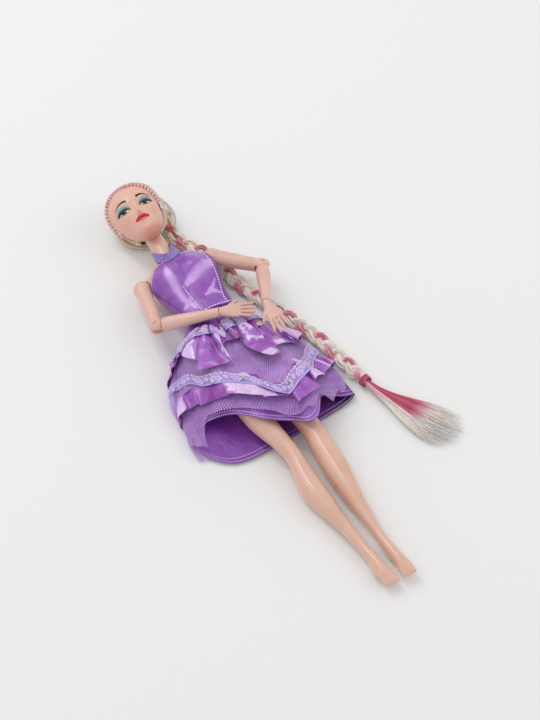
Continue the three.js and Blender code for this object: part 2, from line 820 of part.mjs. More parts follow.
const legShares = [
  [0.000, 0.279, 0.360, 0.260],
  [0.008, 0.488, 0.410, 0.230],
  [0.025, 0.570, 0.460, 0.210],
  [0.046, 0.547, 0.490, 0.195],
  [0.071, 0.442, 0.500, 0.080],
  [0.094, 0.430, 0.490, 0.002],
  [0.117, 0.407, 0.475, 0.020],
  [0.148, 0.384, 0.465, 0.115],
  [0.211, 0.453, 0.510, 0.110],
  [0.279, 0.593, 0.590, 0.050],
  [0.348, 0.674, 0.650, 0.012],
  [0.405, 0.651, 0.685, 0.070],
  [0.456, 0.593, 0.710, 0.175],
  [0.496, 0.616, 0.745, 0.200],
  [0.547, 0.651, 0.775, 0.200],
  [0.621, 0.756, 0.840, 0.195],
  [0.713, 0.872, 0.925, 0.185],
  [0.804, 0.965, 1.000, 0.190],
  [0.884, 0.980, 1.050, 0.225],
  [0.935, 0.960, 1.055, 0.240],
  [0.967, 0.860, 1.005, 0.290],
  [0.989, 0.581, 0.895, 0.385],
  [1.000, 0.186, 0.720, 0.560],
];
const legRows = scaled(legShares, legFoot, [legLength, thighHalf, legDepth, legDepth]);
const legTable = smoothTable(legRows);

// Line of the right leg's middle: share of the length from the toes, share of the hip spread
const rightLineShares = [
  [0.000, 0.03],
  [0.100, 0.13],
  [0.154, 0.23],
  [0.279, 0.45],
  [0.399, 0.64],
  [0.490, 0.76],
  [0.587, 0.90],
  [0.713, 1.00],
  [0.855, 1.01],
  [1.000, 1.00],
];
const leftLineShares = [
  [0.000, 1.00],
  [0.100, 0.95],
  [0.154, 0.90],
  [0.279, 0.92],
  [0.399, 0.98],
  [0.490, 1.00],
  [0.587, 1.02],
  [0.713, 1.05],
  [0.855, 1.03],
  [1.000, 1.00],
];

function buildLeg(name, sideSign, lineShares) {
  const line = smoothTable(scaled(lineShares, legFoot, [legLength, sideSign * legSpread]));
  const surface = (turn, y) => sectionPoint(line(y)[0], y, legTable(y), turn, legRoundness);
  let leg = toSolid(ringSolid(legRows.map((row) => ringOf(surface, row[0], legSides))));
  const far = sideSign * (hipAxleReach + bodyRunning);
  leg = leg.subtract(rod(new THREE.Vector3(0, hipLevel, hipHeight),
    new THREE.Vector3(far, hipLevel, hipHeight), hipAxleRadius + runningFit));
  add(`leg_${name}`, toGeometry(leg), legSkin);
}
buildLeg('right', -1, rightLineShares);
buildLeg('left', 1, leftLineShares);

add('hip_axle', toGeometry(rod(
  new THREE.Vector3(-hipAxleReach, hipLevel, hipHeight),
  new THREE.Vector3(hipAxleReach, hipLevel, hipHeight), hipAxleRadius)), hardPlastic);

// Cloth pieces that hug the torso: a patch between two edges

function torsoPatch(turns, lowEdge, highEdge, rows, gap, thick) {
  const outer = [];
  const inner = [];
  for (const turn of turns) {
    const out = [];
    const into = [];
    for (let j = 0; j <= rows; j += 1) {
      const y = THREE.MathUtils.lerp(lowEdge(turn), highEdge(turn), j / rows);
      const point = torsoSurface(turn, y);
      const normal = normalAt(torsoSurface, turn, y);
      out.push(point.clone().addScaledVector(normal, gap + thick));
      into.push(point.clone().addScaledVector(normal, gap));
    }
    outer.push(out);
    inner.push(into);
  }
  return sheetSolid(outer, inner, false);
}

function spread(from, to, count) {
  const values = [];
  for (let i = 0; i <= count; i += 1) values.push(from + (to - from) * (i / count));
  return values;
}

// Edges of the bodice, each row: degrees from the middle of the front, level of the top edge
const bodiceAboveWaist = 1.4;
const bodiceFoot = waistLevel + bodiceAboveWaist;
const bodiceTopShares = [
  [0, 1.00],
  [14, 0.985],
  [30, 0.90],
  [48, 0.70],
  [66, 0.56],
  [86, 0.50],
  [110, 0.48],
  [180, 0.47],
];
const bodiceHeightShare = 0.41327;
const bodiceHeight = torsoLength * bodiceHeightShare;
const bodiceTop = smoothTable(bodiceTopShares);
const sideSeamDegrees = 98;
const seamGapDegrees = 1.4;
const backOpeningDegrees = 176.5;

function bodiceEdge(turn) {
  const degrees = Math.abs(THREE.MathUtils.radToDeg(turn));
  const wrapped = degrees > 180 ? 360 - degrees : degrees;
  return bodiceFoot + bodiceTop(wrapped)[0] * bodiceHeight;
}

function buildBodice() {
  const toTurn = THREE.MathUtils.degToRad;
  const foot = () => bodiceFoot;
  const frontTurns = spread(toTurn(-sideSeamDegrees), toTurn(sideSeamDegrees), 18);
  add('bodice_front', torsoPatch(frontTurns, foot, bodiceEdge, 8, bodiceGap, bodiceThick), satin);
  for (const [name, sign] of [['right', -1], ['left', 1]]) {
    const turns = spread(toTurn(sign * (sideSeamDegrees + seamGapDegrees)), toTurn(sign * backOpeningDegrees), 6);
    const panel = torsoPatch(turns, foot, bodiceEdge, 4, bodiceGap, bodiceThick);
    add(`bodice_back_${name}`, panel, satin);
  }
}
buildBodice();

// Closing strip over the opening at the back

const closureHalfDegrees = 9;
const closureAboveWaist = 3;
const closureLength = 15;
const closureFoot = waistLevel + closureAboveWaist;
const closureTop = closureFoot + closureLength;

function buildClosure() {
  const toTurn = THREE.MathUtils.degToRad;
  const turns = spread(toTurn(180 - closureHalfDegrees), toTurn(180 + closureHalfDegrees), 4);
  const gap = bodiceGap + bodiceThick + layerGap;
  add('back_closure_strip', torsoPatch(
    turns, () => closureFoot, () => closureTop, 3, gap, clothThin), hookTape);
}
buildClosure();

// Halter straps: two ribbons that cross at the throat and close behind the neck

const strapFootShare = 0.85306;
const strapNeckShare = 0.92653;
const strapFootLevel = torsoFoot + torsoLength * strapFootShare;
const strapNeckLevel = torsoFoot + torsoLength * strapNeckShare;
const strapLift = 0.5;
const strapStartDegrees = -26;
const strapSweepDegrees = 202;
const strapClimbShare = 0.45;
const strapCrossShares = [0.25, 0.5];

function buildStrap(name, sign, lift) {
  const columns = 14;
  const outer = [];
  const inner = [];
  for (let i = 0; i <= columns; i += 1) {
    const share = i / columns;
    const turn = sign * THREE.MathUtils.degToRad(strapStartDegrees + share * strapSweepDegrees);
    const climb = THREE.MathUtils.smoothstep(share, 0, strapClimbShare);
    const middle = THREE.MathUtils.lerp(strapFootLevel + strapWidth / 2, strapNeckLevel, climb);
    const out = [];
    const into = [];
    for (const across of [-0.5, 0, 0.5]) {
      const y = middle + across * strapWidth;
      const point = torsoSurface(turn, y);
      const normal = normalAt(torsoSurface, turn, y);
      const away = lift * (1 - THREE.MathUtils.smoothstep(share, ...strapCrossShares)) + strapLift;
      out.push(point.clone().addScaledVector(normal, away + strapThick));
      into.push(point.clone().addScaledVector(normal, away));
    }
    outer.push(out);
    inner.push(into);
  }
  add(`halter_strap_${name}`, sheetSolid(outer, inner, false), ribbon);
}
buildStrap('right', -1, 0);
buildStrap('left', 1, strapThick + bodiceGap);

// Skirt: one base form from the waist to the hem, lifted by the thighs and flat behind
// Each row: share of the length, half width, height of the front, height of the back,
// share of the flattened section

const skirtShares = [
  [-0.02, 0.280, 0.920, 2.70, 0.00],
  [0.00, 0.284, 0.922, 2.50, 0.00],
  [0.06, 0.330, 0.955, 1.70, 0.10],
  [0.13, 0.440, 1.000, 1.15, 0.45],
  [0.22, 0.600, 1.020, 1.00, 0.85],
  [0.35, 0.770, 1.050, 1.00, 1.00],
  [0.50, 0.880, 1.020, 1.00, 1.00],
  [0.70, 0.960, 0.960, 1.00, 1.00],
  [0.85, 0.990, 0.915, 1.00, 1.00],
  [1.00, 1.010, 0.880, 1.00, 1.00],
  [1.02, 1.015, 0.870, 1.00, 1.00],
];
const skirtTable = smoothTable(scaled(
  skirtShares, 0, [1, skirtHalf, skirtTop, skirtBack, 1]));

// Reach of the hem around the skirt: degrees from the middle of the front, share of the length
const hemShares = [
  [-180, 1.00],
  [-140, 0.99],
  [-110, 0.86],
  [-90, 0.74],
  [-60, 0.68],
  [-35, 0.74],
  [-12, 0.92],
  [10, 1.00],
  [60, 1.00],
  [90, 0.94],
  [120, 0.96],
  [180, 1.00],
];
const hemTable = smoothTable(hemShares);
const edgeRise = 4.6;
const hemLift = 0.9;
const tentStart = legSpread + thighHalf * 0.6;
const tentSlope = 0.5;
const groundShares = [0.72, 1];
const frontShares = [-0.15, 0.35];
const liningPhase = 0.6;
const rippleStartShare = 0.2;
// Step over which the slope of the skirt is read, and where it counts as lying flat on the seat
const slopeStep = 0.02;
const seatNormal = -0.9;
const seatTurn = -0.3;

function wrapDegrees(turn) {
  const degrees = THREE.MathUtils.radToDeg(turn);
  return ((((degrees + 180) % 360) + 360) % 360) - 180;
}

function skirtBase(turn, share) {
  const [half, high, low, flat] = skirtTable(share);
  const s = Math.sin(turn);
  const c = Math.cos(turn);
  const middle = (high + low) / 2;
  const oval = middle + (high - low) / 2 * roundPower(c, bodyRoundness);
  const beyond = THREE.MathUtils.clamp((Math.abs(s) - tentStart / half) / tentSlope, 0, 1);
  const drop = 1 - beyond * beyond * (3 - 2 * beyond);
  const crest = low + edgeRise * Math.sqrt(Math.max(c, 0)) + (high - low - edgeRise) * drop;
  const ground = low + hemLift * THREE.MathUtils.smoothstep(Math.abs(s), ...groundShares);
  const tent = c > 0 ? Math.max(crest, low + hemLift) : ground;
  const y = waistLevel - share * skirtLength * hemTable(wrapDegrees(turn))[0];
  return new THREE.Vector3(half * s, y, THREE.MathUtils.lerp(oval, tent, flat));
}

function frontness(turn) {
  return THREE.MathUtils.smoothstep(Math.cos(turn), ...frontShares);
}

function liningOffset(turn, share) {
  const wave = 0.5 + 0.5 * Math.sin(gatherCount * turn + liningPhase);
  return liningRipple * wave * frontness(turn) * share;
}

// Offset of a layer from the base form: it clears the layers under it, then flares and ripples
function layerOffset(layer, turn, share) {
  const from = layer.shares[0];
  const to = layer.shares[layer.shares.length - 1];
  const local = THREE.MathUtils.clamp((share - from) / (to - from), 0, 1);
  const wave = 0.5 + 0.5 * Math.sin(layer.waves * turn + layer.phase);
  let under = liningOffset(turn, share);
  for (const name of layer.over) {
    const below = layers.find((other) => other.name === name);
    under = Math.max(under, layerOffset(below, turn, share));
  }
  const lift = layer.flare * local + layer.ripple * wave * THREE.MathUtils.lerp(rippleStartShare, 1, local);
  return under + clothThin + layerGap + frontness(turn) * lift;
}

function skirtSheet(offset, shares, frontOnly, drop = () => 0) {
  const outer = [];
  const inner = [];
  const first = frontOnly ? -frontColumns / 2 : 0;
  const last = frontOnly ? frontColumns / 2 : skirtColumns - 1;
  for (let i = first; i <= last; i += 1) {
    const turn = (i / skirtColumns) * 2 * Math.PI;
    const out = [];
    const into = [];
    for (const level of shares) {
      const share = level + drop(turn);
      const point = skirtBase(turn, share);
      const normal = normalAt(skirtBase, turn, share, slopeStep, slopeStep).negate();
      if (normal.z < seatNormal && Math.cos(turn) < seatTurn) normal.set(0, 0, -1);
      const away = offset(turn, share);
      out.push(point.clone().addScaledVector(normal, away + clothThin));
      into.push(point.clone().addScaledVector(normal, away));
    }
    outer.push(out);
    inner.push(into);
  }
  return sheetSolid(outer, inner, !frontOnly);
}

// Drop of the lower lace toward a point beside the middle of the front: degrees, share
const laceDropShares = [
  [-90, 0],
  [-42, 0],
  [-26, 0.02],
  [-11, 0.05],
  [0, 0.13],
  [9, 0.18],
  [18, 0.15],
  [27, 0.09],
  [47, 0],
  [90, 0],
];
const laceDropTable = smoothTable(laceDropShares);

function laceDrop(turn) {
  return laceDropTable(wrapDegrees(turn))[0];
}

const layers = [
  { name: 'tulle_ruffle_upper', shares: [0.26, 0.36, 0.47, 0.59], over: [], flare: 0.6,
    ripple: tulleRipple, waves: 8, phase: 0.4, cloth: tulle },
  { name: 'satin_ruffle_upper', shares: [0.26, 0.36, 0.47], over: ['tulle_ruffle_upper'],
    flare: 0.8, ripple: satinRipple, waves: 10, phase: 1.2, cloth: lilacSatin },
  { name: 'tulle_ruffle_lower', shares: [0.65, 0.74, 0.84, 0.94], over: [], flare: 0.6,
    ripple: tulleRipple, waves: 8, phase: 2.0, cloth: tulle },
  { name: 'satin_ruffle_lower', shares: [0.65, 0.74, 0.84], over: ['tulle_ruffle_lower'],
    flare: 0.8, ripple: satinRipple, waves: 10, phase: 0.2, cloth: lilacSatin },
  { name: 'lace_trim_upper', shares: [0.17, 0.245], over: [], flare: 0.4,
    ripple: laceRipple, waves: 5, phase: 0, cloth: lace, frontOnly: true },
  { name: 'lace_trim_lower', shares: [0.56, 0.62, 0.68],
    over: ['tulle_ruffle_upper', 'satin_ruffle_lower'], flare: 0, drop: laceDrop,
    ripple: laceRipple, waves: 5, phase: 0, cloth: lace, frontOnly: true },
];
const liningShares = [0, 0.07, 0.14, 0.26, 0.36, 0.47, 0.65, 0.84, 1];

function buildSkirt() {
  add('skirt_lining', skirtSheet(liningOffset, liningShares, false), liningCloth);
  for (const layer of layers) {
    const offset = (turn, share) => layerOffset(layer, turn, share);
    add(layer.name, skirtSheet(offset, layer.shares, layer.frontOnly, layer.drop), layer.cloth);
  }
}
buildSkirt();

// Rhinestones and a pearl on the lace

const gemSeat = 0.5;
const gemSides = 8;
const gemTopShare = 0.55;
const gemHeightShare = 0.8;
const pearlDegrees = 28;
const pearlShare = 0.32;
const pearlSides = 12;
const gemShares = [
  ['rhinestone_1', 45, 0.626],
  ['rhinestone_2', 14, 0.772],
  ['rhinestone_3', -12, 0.674],
  ['rhinestone_4', -28, 0.652],
];

function laceSeat(layer, degrees, share) {
  const turn = THREE.MathUtils.degToRad(degrees);
  const point = skirtBase(turn, share);
  const normal = normalAt(skirtBase, turn, share, slopeStep, slopeStep).negate();
  const away = layerOffset(layer, turn, share) + clothThin + gemSeat;
  return [point.addScaledVector(normal, away), normal];
}

function buildGems() {
  const lower = layers.find((layer) => layer.name === 'lace_trim_lower');
  const upper = layers.find((layer) => layer.name === 'satin_ruffle_upper');
  for (const [name, degrees, share] of gemShares) {
    const [place, normal] = laceSeat(lower, degrees, share);
    const height = gemRadius * gemHeightShare;
    const shape = new THREE.CylinderGeometry(gemRadius * gemTopShare, gemRadius, height, gemSides);
    shape.translate(0, height / 2, 0);
    shape.applyQuaternion(new THREE.Quaternion().setFromUnitVectors(vec([0, 1, 0]), normal));
    shape.translate(place.x, place.y, place.z);
    add(name, toGeometry(toSolid(shape)), crystal);
  }
  const [place, normal] = laceSeat(upper, pearlDegrees, pearlShare);
  place.addScaledVector(normal, pearlRadius);
  add('pearl_bead', toGeometry(ball(place, pearlRadius, pearlSides)), gold);
}
buildGems();

// Hair gathered at the nape, the braid beside the body, its tie and the loose tail

// Middle line of the braid: its first points keep their place behind the ear
const napeLine = [
  [16.0, 13.2, 5.4],
  [14.4, 5.2, 4.5],
  [15.6, -1.8, 4.0],
];
const braidLine = [
  ...napeLine.map(([x, aboveChin, z]) => [x, headFoot + aboveChin, z]),
  [19.6, 55.0, 3.6],
  [25.6, 41.7, 3.6],
  [29.6, 21.0, 3.6],
  [33.6, 6.2, 3.6],
  [38.6, -6.5, 3.6],
  [43.0, -19.0, 3.6],
  [47.8, -33.8, 3.6],
  [51.0, -47.8, 3.6],
  [53.8, -60.5, 3.6],
  [56.0, -74.0, 3.85],
];
const tailLine = [
  [56.4, -75.4, 3.85],
  [59.4, -85.0, 3.0],
  [64.6, -97.0, 2.6],
  [72.0, -113.0, 2.3],
  [79.0, -125.0, 2.0],
  [84.0, -132.0, 1.7],
];
const braidLobes = 13;
const braidLobeDepth = 0.16;
// Shares of the full width at the nape and at the tie, and where along the braid they end
const braidRootShare = 0.62;
const braidRootReach = 0.12;
const braidTieShare = 0.56;
const braidTieReach = [0.95, 0.985];
const braidEndLobe = 0.2;
const braidRings = 36;
const braidSides = 9;
const tailRootShare = 0.22;
const tailSpreadReach = [0.03, 0.6];
const tailTipShare = 0.45;
const tailTipReach = [0.72, 1];
const tailThickShares = [0.9, 1, 0.55];
const tailThickReach = 0.2;
const tailRings = 13;
const tailSides = 12;

function ribbonRings(line, count, sides, widthAt, thickAt) {
  const curve = new THREE.CatmullRomCurve3(line.map(vec), false, 'centripetal');
  const rings = [];
  for (let k = 0; k <= count; k += 1) {
    const share = k / count;
    const centre = curve.getPointAt(share);
    const along = curve.getTangentAt(share);
    const across = along.clone().cross(front).normalize();
    const up = across.clone().cross(along).normalize();
    const ring = [];
    for (let i = 0; i < sides; i += 1) {
      const turn = (i / sides) * 2 * Math.PI;
      ring.push(centre.clone()
        .addScaledVector(across, widthAt(share, turn) * Math.sin(turn))
        .addScaledVector(up, thickAt(share, turn) * Math.cos(turn)));
    }
    rings.push(ring);
  }
  return rings;
}

function buildBraid() {
  const lobe = (share, turn) => 1 + braidLobeDepth * Math.sin(
    share * braidLobes * 2 * Math.PI + Math.sign(Math.sin(turn)) * Math.PI / 2);
  const step = THREE.MathUtils.smoothstep;
  const slim = (share) => braidRootShare + (1 - braidRootShare) * step(share, 0, braidRootReach)
    - (1 - braidTieShare) * step(share, ...braidTieReach);
  const smooth = (share) => (share > braidTieReach[0] ? braidEndLobe : 1);
  add('braid', ringSolid(ribbonRings(braidLine, braidRings, braidSides,
    (share, turn) => braidWidth * slim(share) * (1 + (lobe(share, turn) - 1) * smooth(share)),
    (share) => braidThick * slim(share))), paleHair);
  const widen = (share) => tailRootShare + (1 - tailRootShare) * step(share, ...tailSpreadReach)
    - (1 - tailTipShare) * step(share, ...tailTipReach);
  const [rootThick, fullThick, tipThick] = tailThickShares;
  const tail = (share) => rootThick + (fullThick - rootThick) * step(share, 0, tailThickReach)
    - (fullThick - tipThick) * share;
  add('hair_tail', ringSolid(ribbonRings(tailLine, tailRings, tailSides,
    (share) => tailWidth * widen(share),
    (share) => tailThick * tail(share))), tipHair);
  const middle = vec(braidLine[braidLine.length - 1]).lerp(vec(tailLine[0]), 0.5);
  const along = vec(tailLine[1]).sub(vec(braidLine[braidLine.length - 2])).normalize();
  const start = middle.clone().addScaledVector(along, -tieLength / 2);
  const end = middle.clone().addScaledVector(along, tieLength / 2);
  const far = middle.clone().addScaledVector(along, tieLength);
  const near = middle.clone().addScaledVector(along, -tieLength);
  add('braid_tie', toGeometry(rod(start, end, tieInner + tieWall).subtract(
    rod(near, far, tieInner))), elastic);
}
buildBraid();

group.position.y = -seatLevel;

export default group;
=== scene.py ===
import json
import math
import random

import bmesh
import bpy
import numpy as np
from mathutils import Matrix, Vector

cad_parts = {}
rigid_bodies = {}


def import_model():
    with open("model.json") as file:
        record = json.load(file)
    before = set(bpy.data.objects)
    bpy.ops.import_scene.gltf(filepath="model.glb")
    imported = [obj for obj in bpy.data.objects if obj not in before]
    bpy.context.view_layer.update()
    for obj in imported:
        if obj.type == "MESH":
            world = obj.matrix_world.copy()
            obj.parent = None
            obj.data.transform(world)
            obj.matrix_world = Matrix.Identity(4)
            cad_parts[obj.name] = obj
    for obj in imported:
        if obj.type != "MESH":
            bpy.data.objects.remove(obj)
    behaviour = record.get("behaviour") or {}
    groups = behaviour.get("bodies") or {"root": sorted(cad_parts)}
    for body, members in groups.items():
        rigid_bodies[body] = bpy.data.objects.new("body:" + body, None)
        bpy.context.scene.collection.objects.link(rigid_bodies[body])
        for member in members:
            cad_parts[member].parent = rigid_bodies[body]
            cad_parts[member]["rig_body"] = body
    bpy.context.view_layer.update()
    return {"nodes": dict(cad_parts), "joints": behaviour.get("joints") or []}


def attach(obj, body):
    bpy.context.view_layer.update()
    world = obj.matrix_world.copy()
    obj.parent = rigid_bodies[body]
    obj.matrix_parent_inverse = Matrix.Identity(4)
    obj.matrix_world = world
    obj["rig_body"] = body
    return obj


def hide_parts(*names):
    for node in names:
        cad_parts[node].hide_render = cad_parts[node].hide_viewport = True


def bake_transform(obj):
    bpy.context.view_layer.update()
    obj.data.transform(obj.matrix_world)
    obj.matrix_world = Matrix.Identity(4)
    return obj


# Jointed doll in a halter party dress, lying on its back. Lengths below are in millimetres in
# the part's frame, and turn to metres where a mesh gets its points.
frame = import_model()
nodes = frame["nodes"]
MM = 0.001
scene = bpy.context.scene
scene.view_settings.view_transform = "Standard"
rng = random.Random(7)

# Camera at the photograph's angle
cam_turn, cam_rise, cam_away = math.radians(-31), math.radians(56), 1.4
look_at = Vector((14.0, -13.0, 15.0)) * MM
level_reach = math.cos(cam_rise)
back = Vector((math.sin(cam_turn) * level_reach, -math.cos(cam_turn) * level_reach, math.sin(cam_rise)))
right = Vector((math.cos(cam_turn), math.sin(cam_turn), 0))
camera = bpy.data.objects.new("camera", bpy.data.cameras.new("camera"))
camera.data.lens, camera.data.sensor_width = 126, 36
camera.matrix_world = Matrix.Translation(look_at + back * cam_away) @ Matrix(
    (right, back.cross(right), back)).transposed().to_4x4()
scene.collection.objects.link(camera)
scene.camera = camera


# Shader maths on sockets, and one method for every other node
class Value:
    def __init__(self, finish, socket):
        self.finish, self.socket = finish, socket

    def maths(self, operation, *others):
        return self.finish.node("ShaderNodeMath", {"operation": operation}, [self, *others])

    def __add__(self, other):
        return self.maths("ADD", other)

    __radd__ = __add__

    def __sub__(self, other):
        return self.maths("SUBTRACT", other)

    def __rsub__(self, other):
        return self.maths("MULTIPLY", -1).maths("ADD", other)

    def __mul__(self, other):
        return self.maths("MULTIPLY", other)

    __rmul__ = __mul__

    def __truediv__(self, other):
        return self.maths("DIVIDE", other)

    def __pow__(self, other):
        return self.maths("POWER", other)

    def __abs__(self):
        return self.maths("ABSOLUTE")

    def sine(self):
        return self.maths("SINE")

    def cell(self):
        """From -0.5 to 0.5 over each whole step."""
        return self.maths("FRACT") - 0.5

    def whole(self):
        return self.maths("FLOOR")

    def highest(self, other):
        return self.maths("MAXIMUM", other)

    def ease(self, low, high):
        """0 below low, 1 above high, smooth between; high may lie under low."""
        ends = (0, 1) if low < high else (1, 0)
        return self.finish.node("ShaderNodeMapRange", {"interpolation_type": "SMOOTHSTEP"},
                                [self, min(low, high), max(low, high), *ends])


class Finish:
    """A material with its shader, and short ways to its patterns."""

    def __init__(self, name, color=(0.5, 0.5, 0.5), roughness=0.5, **fixed):
        self.mat = bpy.data.materials.new(name)
        self.mat.use_nodes = True
        self.tree = self.mat.node_tree
        self.shader = self.tree.nodes["Principled BSDF"]
        self.set("Base Color", rgb(color))
        self.set("Roughness", roughness)
        for key, value in fixed.items():
            self.set(key.replace("_", " "), value)

    def set(self, socket, value):
        self.feed(self.shader.inputs[socket], value)
        return self

    def feed(self, socket, value):
        if isinstance(value, Value):
            self.tree.links.new(value.socket, socket)
        elif value is not None:
            if hasattr(value, "__len__") and len(value) == 3 and socket.type == "RGBA":
                value = (*value, 1)
            socket.default_value = value

    def node(self, kind, settings=None, inputs=(), out=0):
        node = self.tree.nodes.new(kind)
        for key, value in (settings or {}).items():
            if key == "stops":
                ramp = node.color_ramp
                while len(ramp.elements) < len(value):
                    ramp.elements.new(0.5)
                for element, (at, color) in zip(ramp.elements, value):
                    element.position, element.color = at, (*rgb(color), 1)
            else:
                setattr(node, key, value)
        pairs = inputs.items() if isinstance(inputs, dict) else enumerate(inputs)
        for key, value in pairs:
            self.feed(node.inputs[key], value)
        return Value(self, node.outputs[out])

    def place(self):
        return self.node("ShaderNodeTexCoord", out=3)

    def split(self, vector):
        made = self.node("ShaderNodeSeparateXYZ", inputs=[vector])
        return [Value(self, output) for output in made.socket.node.outputs]

    def join(self, x, y):
        return self.node("ShaderNodeCombineXYZ", inputs=[x, y])

    def speckle(self, scale, vector=None, detail=3.0, rough=0.5):
        return self.node("ShaderNodeTexNoise", inputs={
            "Vector": vector or self.place(), "Scale": scale, "Detail": detail, "Roughness": rough})

    def mix(self, share, a, b):
        first, second = (rgb(color) if isinstance(color, tuple) else color for color in (a, b))
        return self.node("ShaderNodeMix", {"data_type": "RGBA"}, {0: share, 6: first, 7: second}, out=2)

    def bump(self, height, distance, strength=1.0):
        self.set("Normal", self.node("ShaderNodeBump", inputs={
            "Strength": strength, "Distance": distance, "Height": height}))
        return self


def rgb(color):
    """A colour written as it shows, from 0 to 255 or 0 to 1, as the shader's light value."""
    if max(color) > 1.001:
        color = [c / 255 for c in color]
    return tuple(c / 12.92 if c <= 0.04045 else ((c + 0.055) / 1.055) ** 2.4 for c in color[:3])


# Smooth tables, sections and the forms of head, torso and skirt, as in the part's source
def table(rows):
    """A smooth reader of rows: the place first, then the values there."""
    rows = np.array(rows, float)
    at, values = rows[:, 0], rows[:, 1:]
    last = len(at) - 1
    after, before = np.minimum(np.arange(last + 1) + 1, last), np.maximum(np.arange(last + 1) - 1, 0)
    lean = (values[after] - values[before]) / (at[after] - at[before])[:, None]

    def read(position):
        position = np.asarray(position, float)
        k = np.clip(np.searchsorted(at, position) - 1, 0, last - 1)
        span = at[k + 1] - at[k]
        t = np.clip((position - at[k]) / span, 0, 1)[..., None]
        span = span[..., None]
        out = ((2 * t**3 - 3 * t**2 + 1) * values[k] + (t**3 - 2 * t**2 + t) * span * lean[k]
               + (3 * t**2 - 2 * t**3) * values[k + 1] + (t**3 - t**2) * span * lean[k + 1])
        return [out[..., i] for i in range(out.shape[-1])]
    return read


def scaled(shares, start, sizes):
    """Rows of shares as millimetres: the first counts from the start."""
    return [[start + place * sizes[0], *(share * size for share, size in zip(row, sizes[1:]))]
            for place, *row in shares]


def soft_power(value, power):
    return np.sign(value) * np.abs(value) ** power


def section(x, y, sizes, turn, power=0.92):
    """Points of an oval cross-section at a turn from the front."""
    half, high, low = sizes
    return np.stack([x + half * soft_power(np.sin(turn), power), y,
                     (high + low) / 2 + (high - low) / 2 * soft_power(np.cos(turn), power)], -1)


def ease(low, high, value):
    t = np.clip((value - low) / (high - low), 0, 1)
    return t * t * (3 - 2 * t)


def unit(vectors):
    """The vectors with a length of 1."""
    return vectors / np.maximum(np.linalg.norm(vectors, axis=-1, keepdims=True), 1e-12)


def normals(surface, u, v, du, dv):
    """Directions square to a surface of two coordinates."""
    a = surface(u + du, v) - surface(u - du, v)
    b = surface(u, v + dv) - surface(u, v - dv)
    return unit(np.cross(a, b))


# The seat's level stands this far above the frame's origin
seat = 29.0
torso_read = table(scaled([
    [0.000, 0.619, 1.000, 0.270], [0.026, 0.743, 1.070, 0.200], [0.071, 0.817, 1.115, 0.160],
    [0.133, 0.844, 1.130, 0.145], [0.204, 0.817, 1.115, 0.150], [0.286, 0.725, 1.070, 0.210],
    [0.367, 0.606, 1.020, 0.280], [0.439, 0.555, 0.990, 0.310], [0.500, 0.564, 1.000, 0.290],
    [0.571, 0.642, 1.040, 0.220], [0.643, 0.743, 1.070, 0.145], [0.704, 0.835, 1.070, 0.115],
    [0.755, 0.945, 1.040, 0.130], [0.796, 0.936, 0.990, 0.170], [0.832, 0.734, 0.950, 0.230],
    [0.862, 0.459, 0.930, 0.310], [0.888, 0.303, 0.925, 0.380], [0.929, 0.243, 0.935, 0.440],
    [1.000, 0.234, 0.965, 0.475], [1.074, 0.225, 0.985, 0.510]], -38, [98, 21.8, 20, 20]))


def torso_surface(turn, level):
    """Torso at a turn from the front and a level above the seat."""
    y = level - seat
    point = section(0, y, torso_read(y), turn)
    away = ((np.abs(point[..., 0]) - 8.4) / 7.2) ** 2 + ((y - 31.5) / 7.2) ** 2
    point[..., 2] += 5.0 * np.exp(-away) * np.maximum(0, np.cos(turn)) ** 0.5
    point[..., 1] = level
    return point


head_foot, head_half = 66.3 + seat, 14.9
head_length = 33.8
head_read = table([[y, a, b - 3.25, c - 3.25] for y, a, b, c in scaled([
    [0.000, 0.159, 1.018, 0.906], [0.028, 0.317, 1.059, 0.806], [0.073, 0.488, 1.088, 0.618],
    [0.128, 0.646, 1.100, 0.397], [0.196, 0.768, 1.109, 0.271], [0.277, 0.854, 1.115, 0.194],
    [0.374, 0.927, 1.118, 0.153], [0.486, 0.976, 1.118, 0.138], [0.598, 1.000, 1.124, 0.144],
    [0.709, 0.970, 1.106, 0.176], [0.807, 0.872, 1.053, 0.235], [0.888, 0.707, 0.971, 0.324],
    [0.950, 0.488, 0.865, 0.429], [0.989, 0.220, 0.747, 0.547]],
    head_foot, [head_length, head_half, 30.4, 30.4])])


def head_surface(turn, y):
    """The skin of the head, with the forms of the face."""
    point = section(0, y, head_read(y), turn, 0.95)
    across, along = point[..., 0] / head_half, (y - head_foot) / head_half
    rise = 0
    for x, share, height, wide, tall in face_looks:
        up = along - share * head_length / head_half
        rise = rise + height * np.exp(-((across - x) / wide) ** 2 - (up / tall) ** 2)
    point[..., 2] += rise * head_half * np.maximum(0, np.cos(turn)) ** 0.6
    return point


neck_pivot = Vector((0, 72 + seat, 14.8))
head_pose = (Matrix.Translation(neck_pivot) @ Matrix.Rotation(math.radians(4), 4, "Z")
             @ Matrix.Rotation(math.radians(9), 4, "X") @ Matrix.Rotation(math.radians(-7), 4, "Y")
             @ Matrix.Translation(-neck_pivot))
head_turn_matrix = np.array(head_pose)


def posed(points):
    """Points of the upright head where the turned head has them."""
    return points @ head_turn_matrix[:3, :3].T + head_turn_matrix[:3, 3]


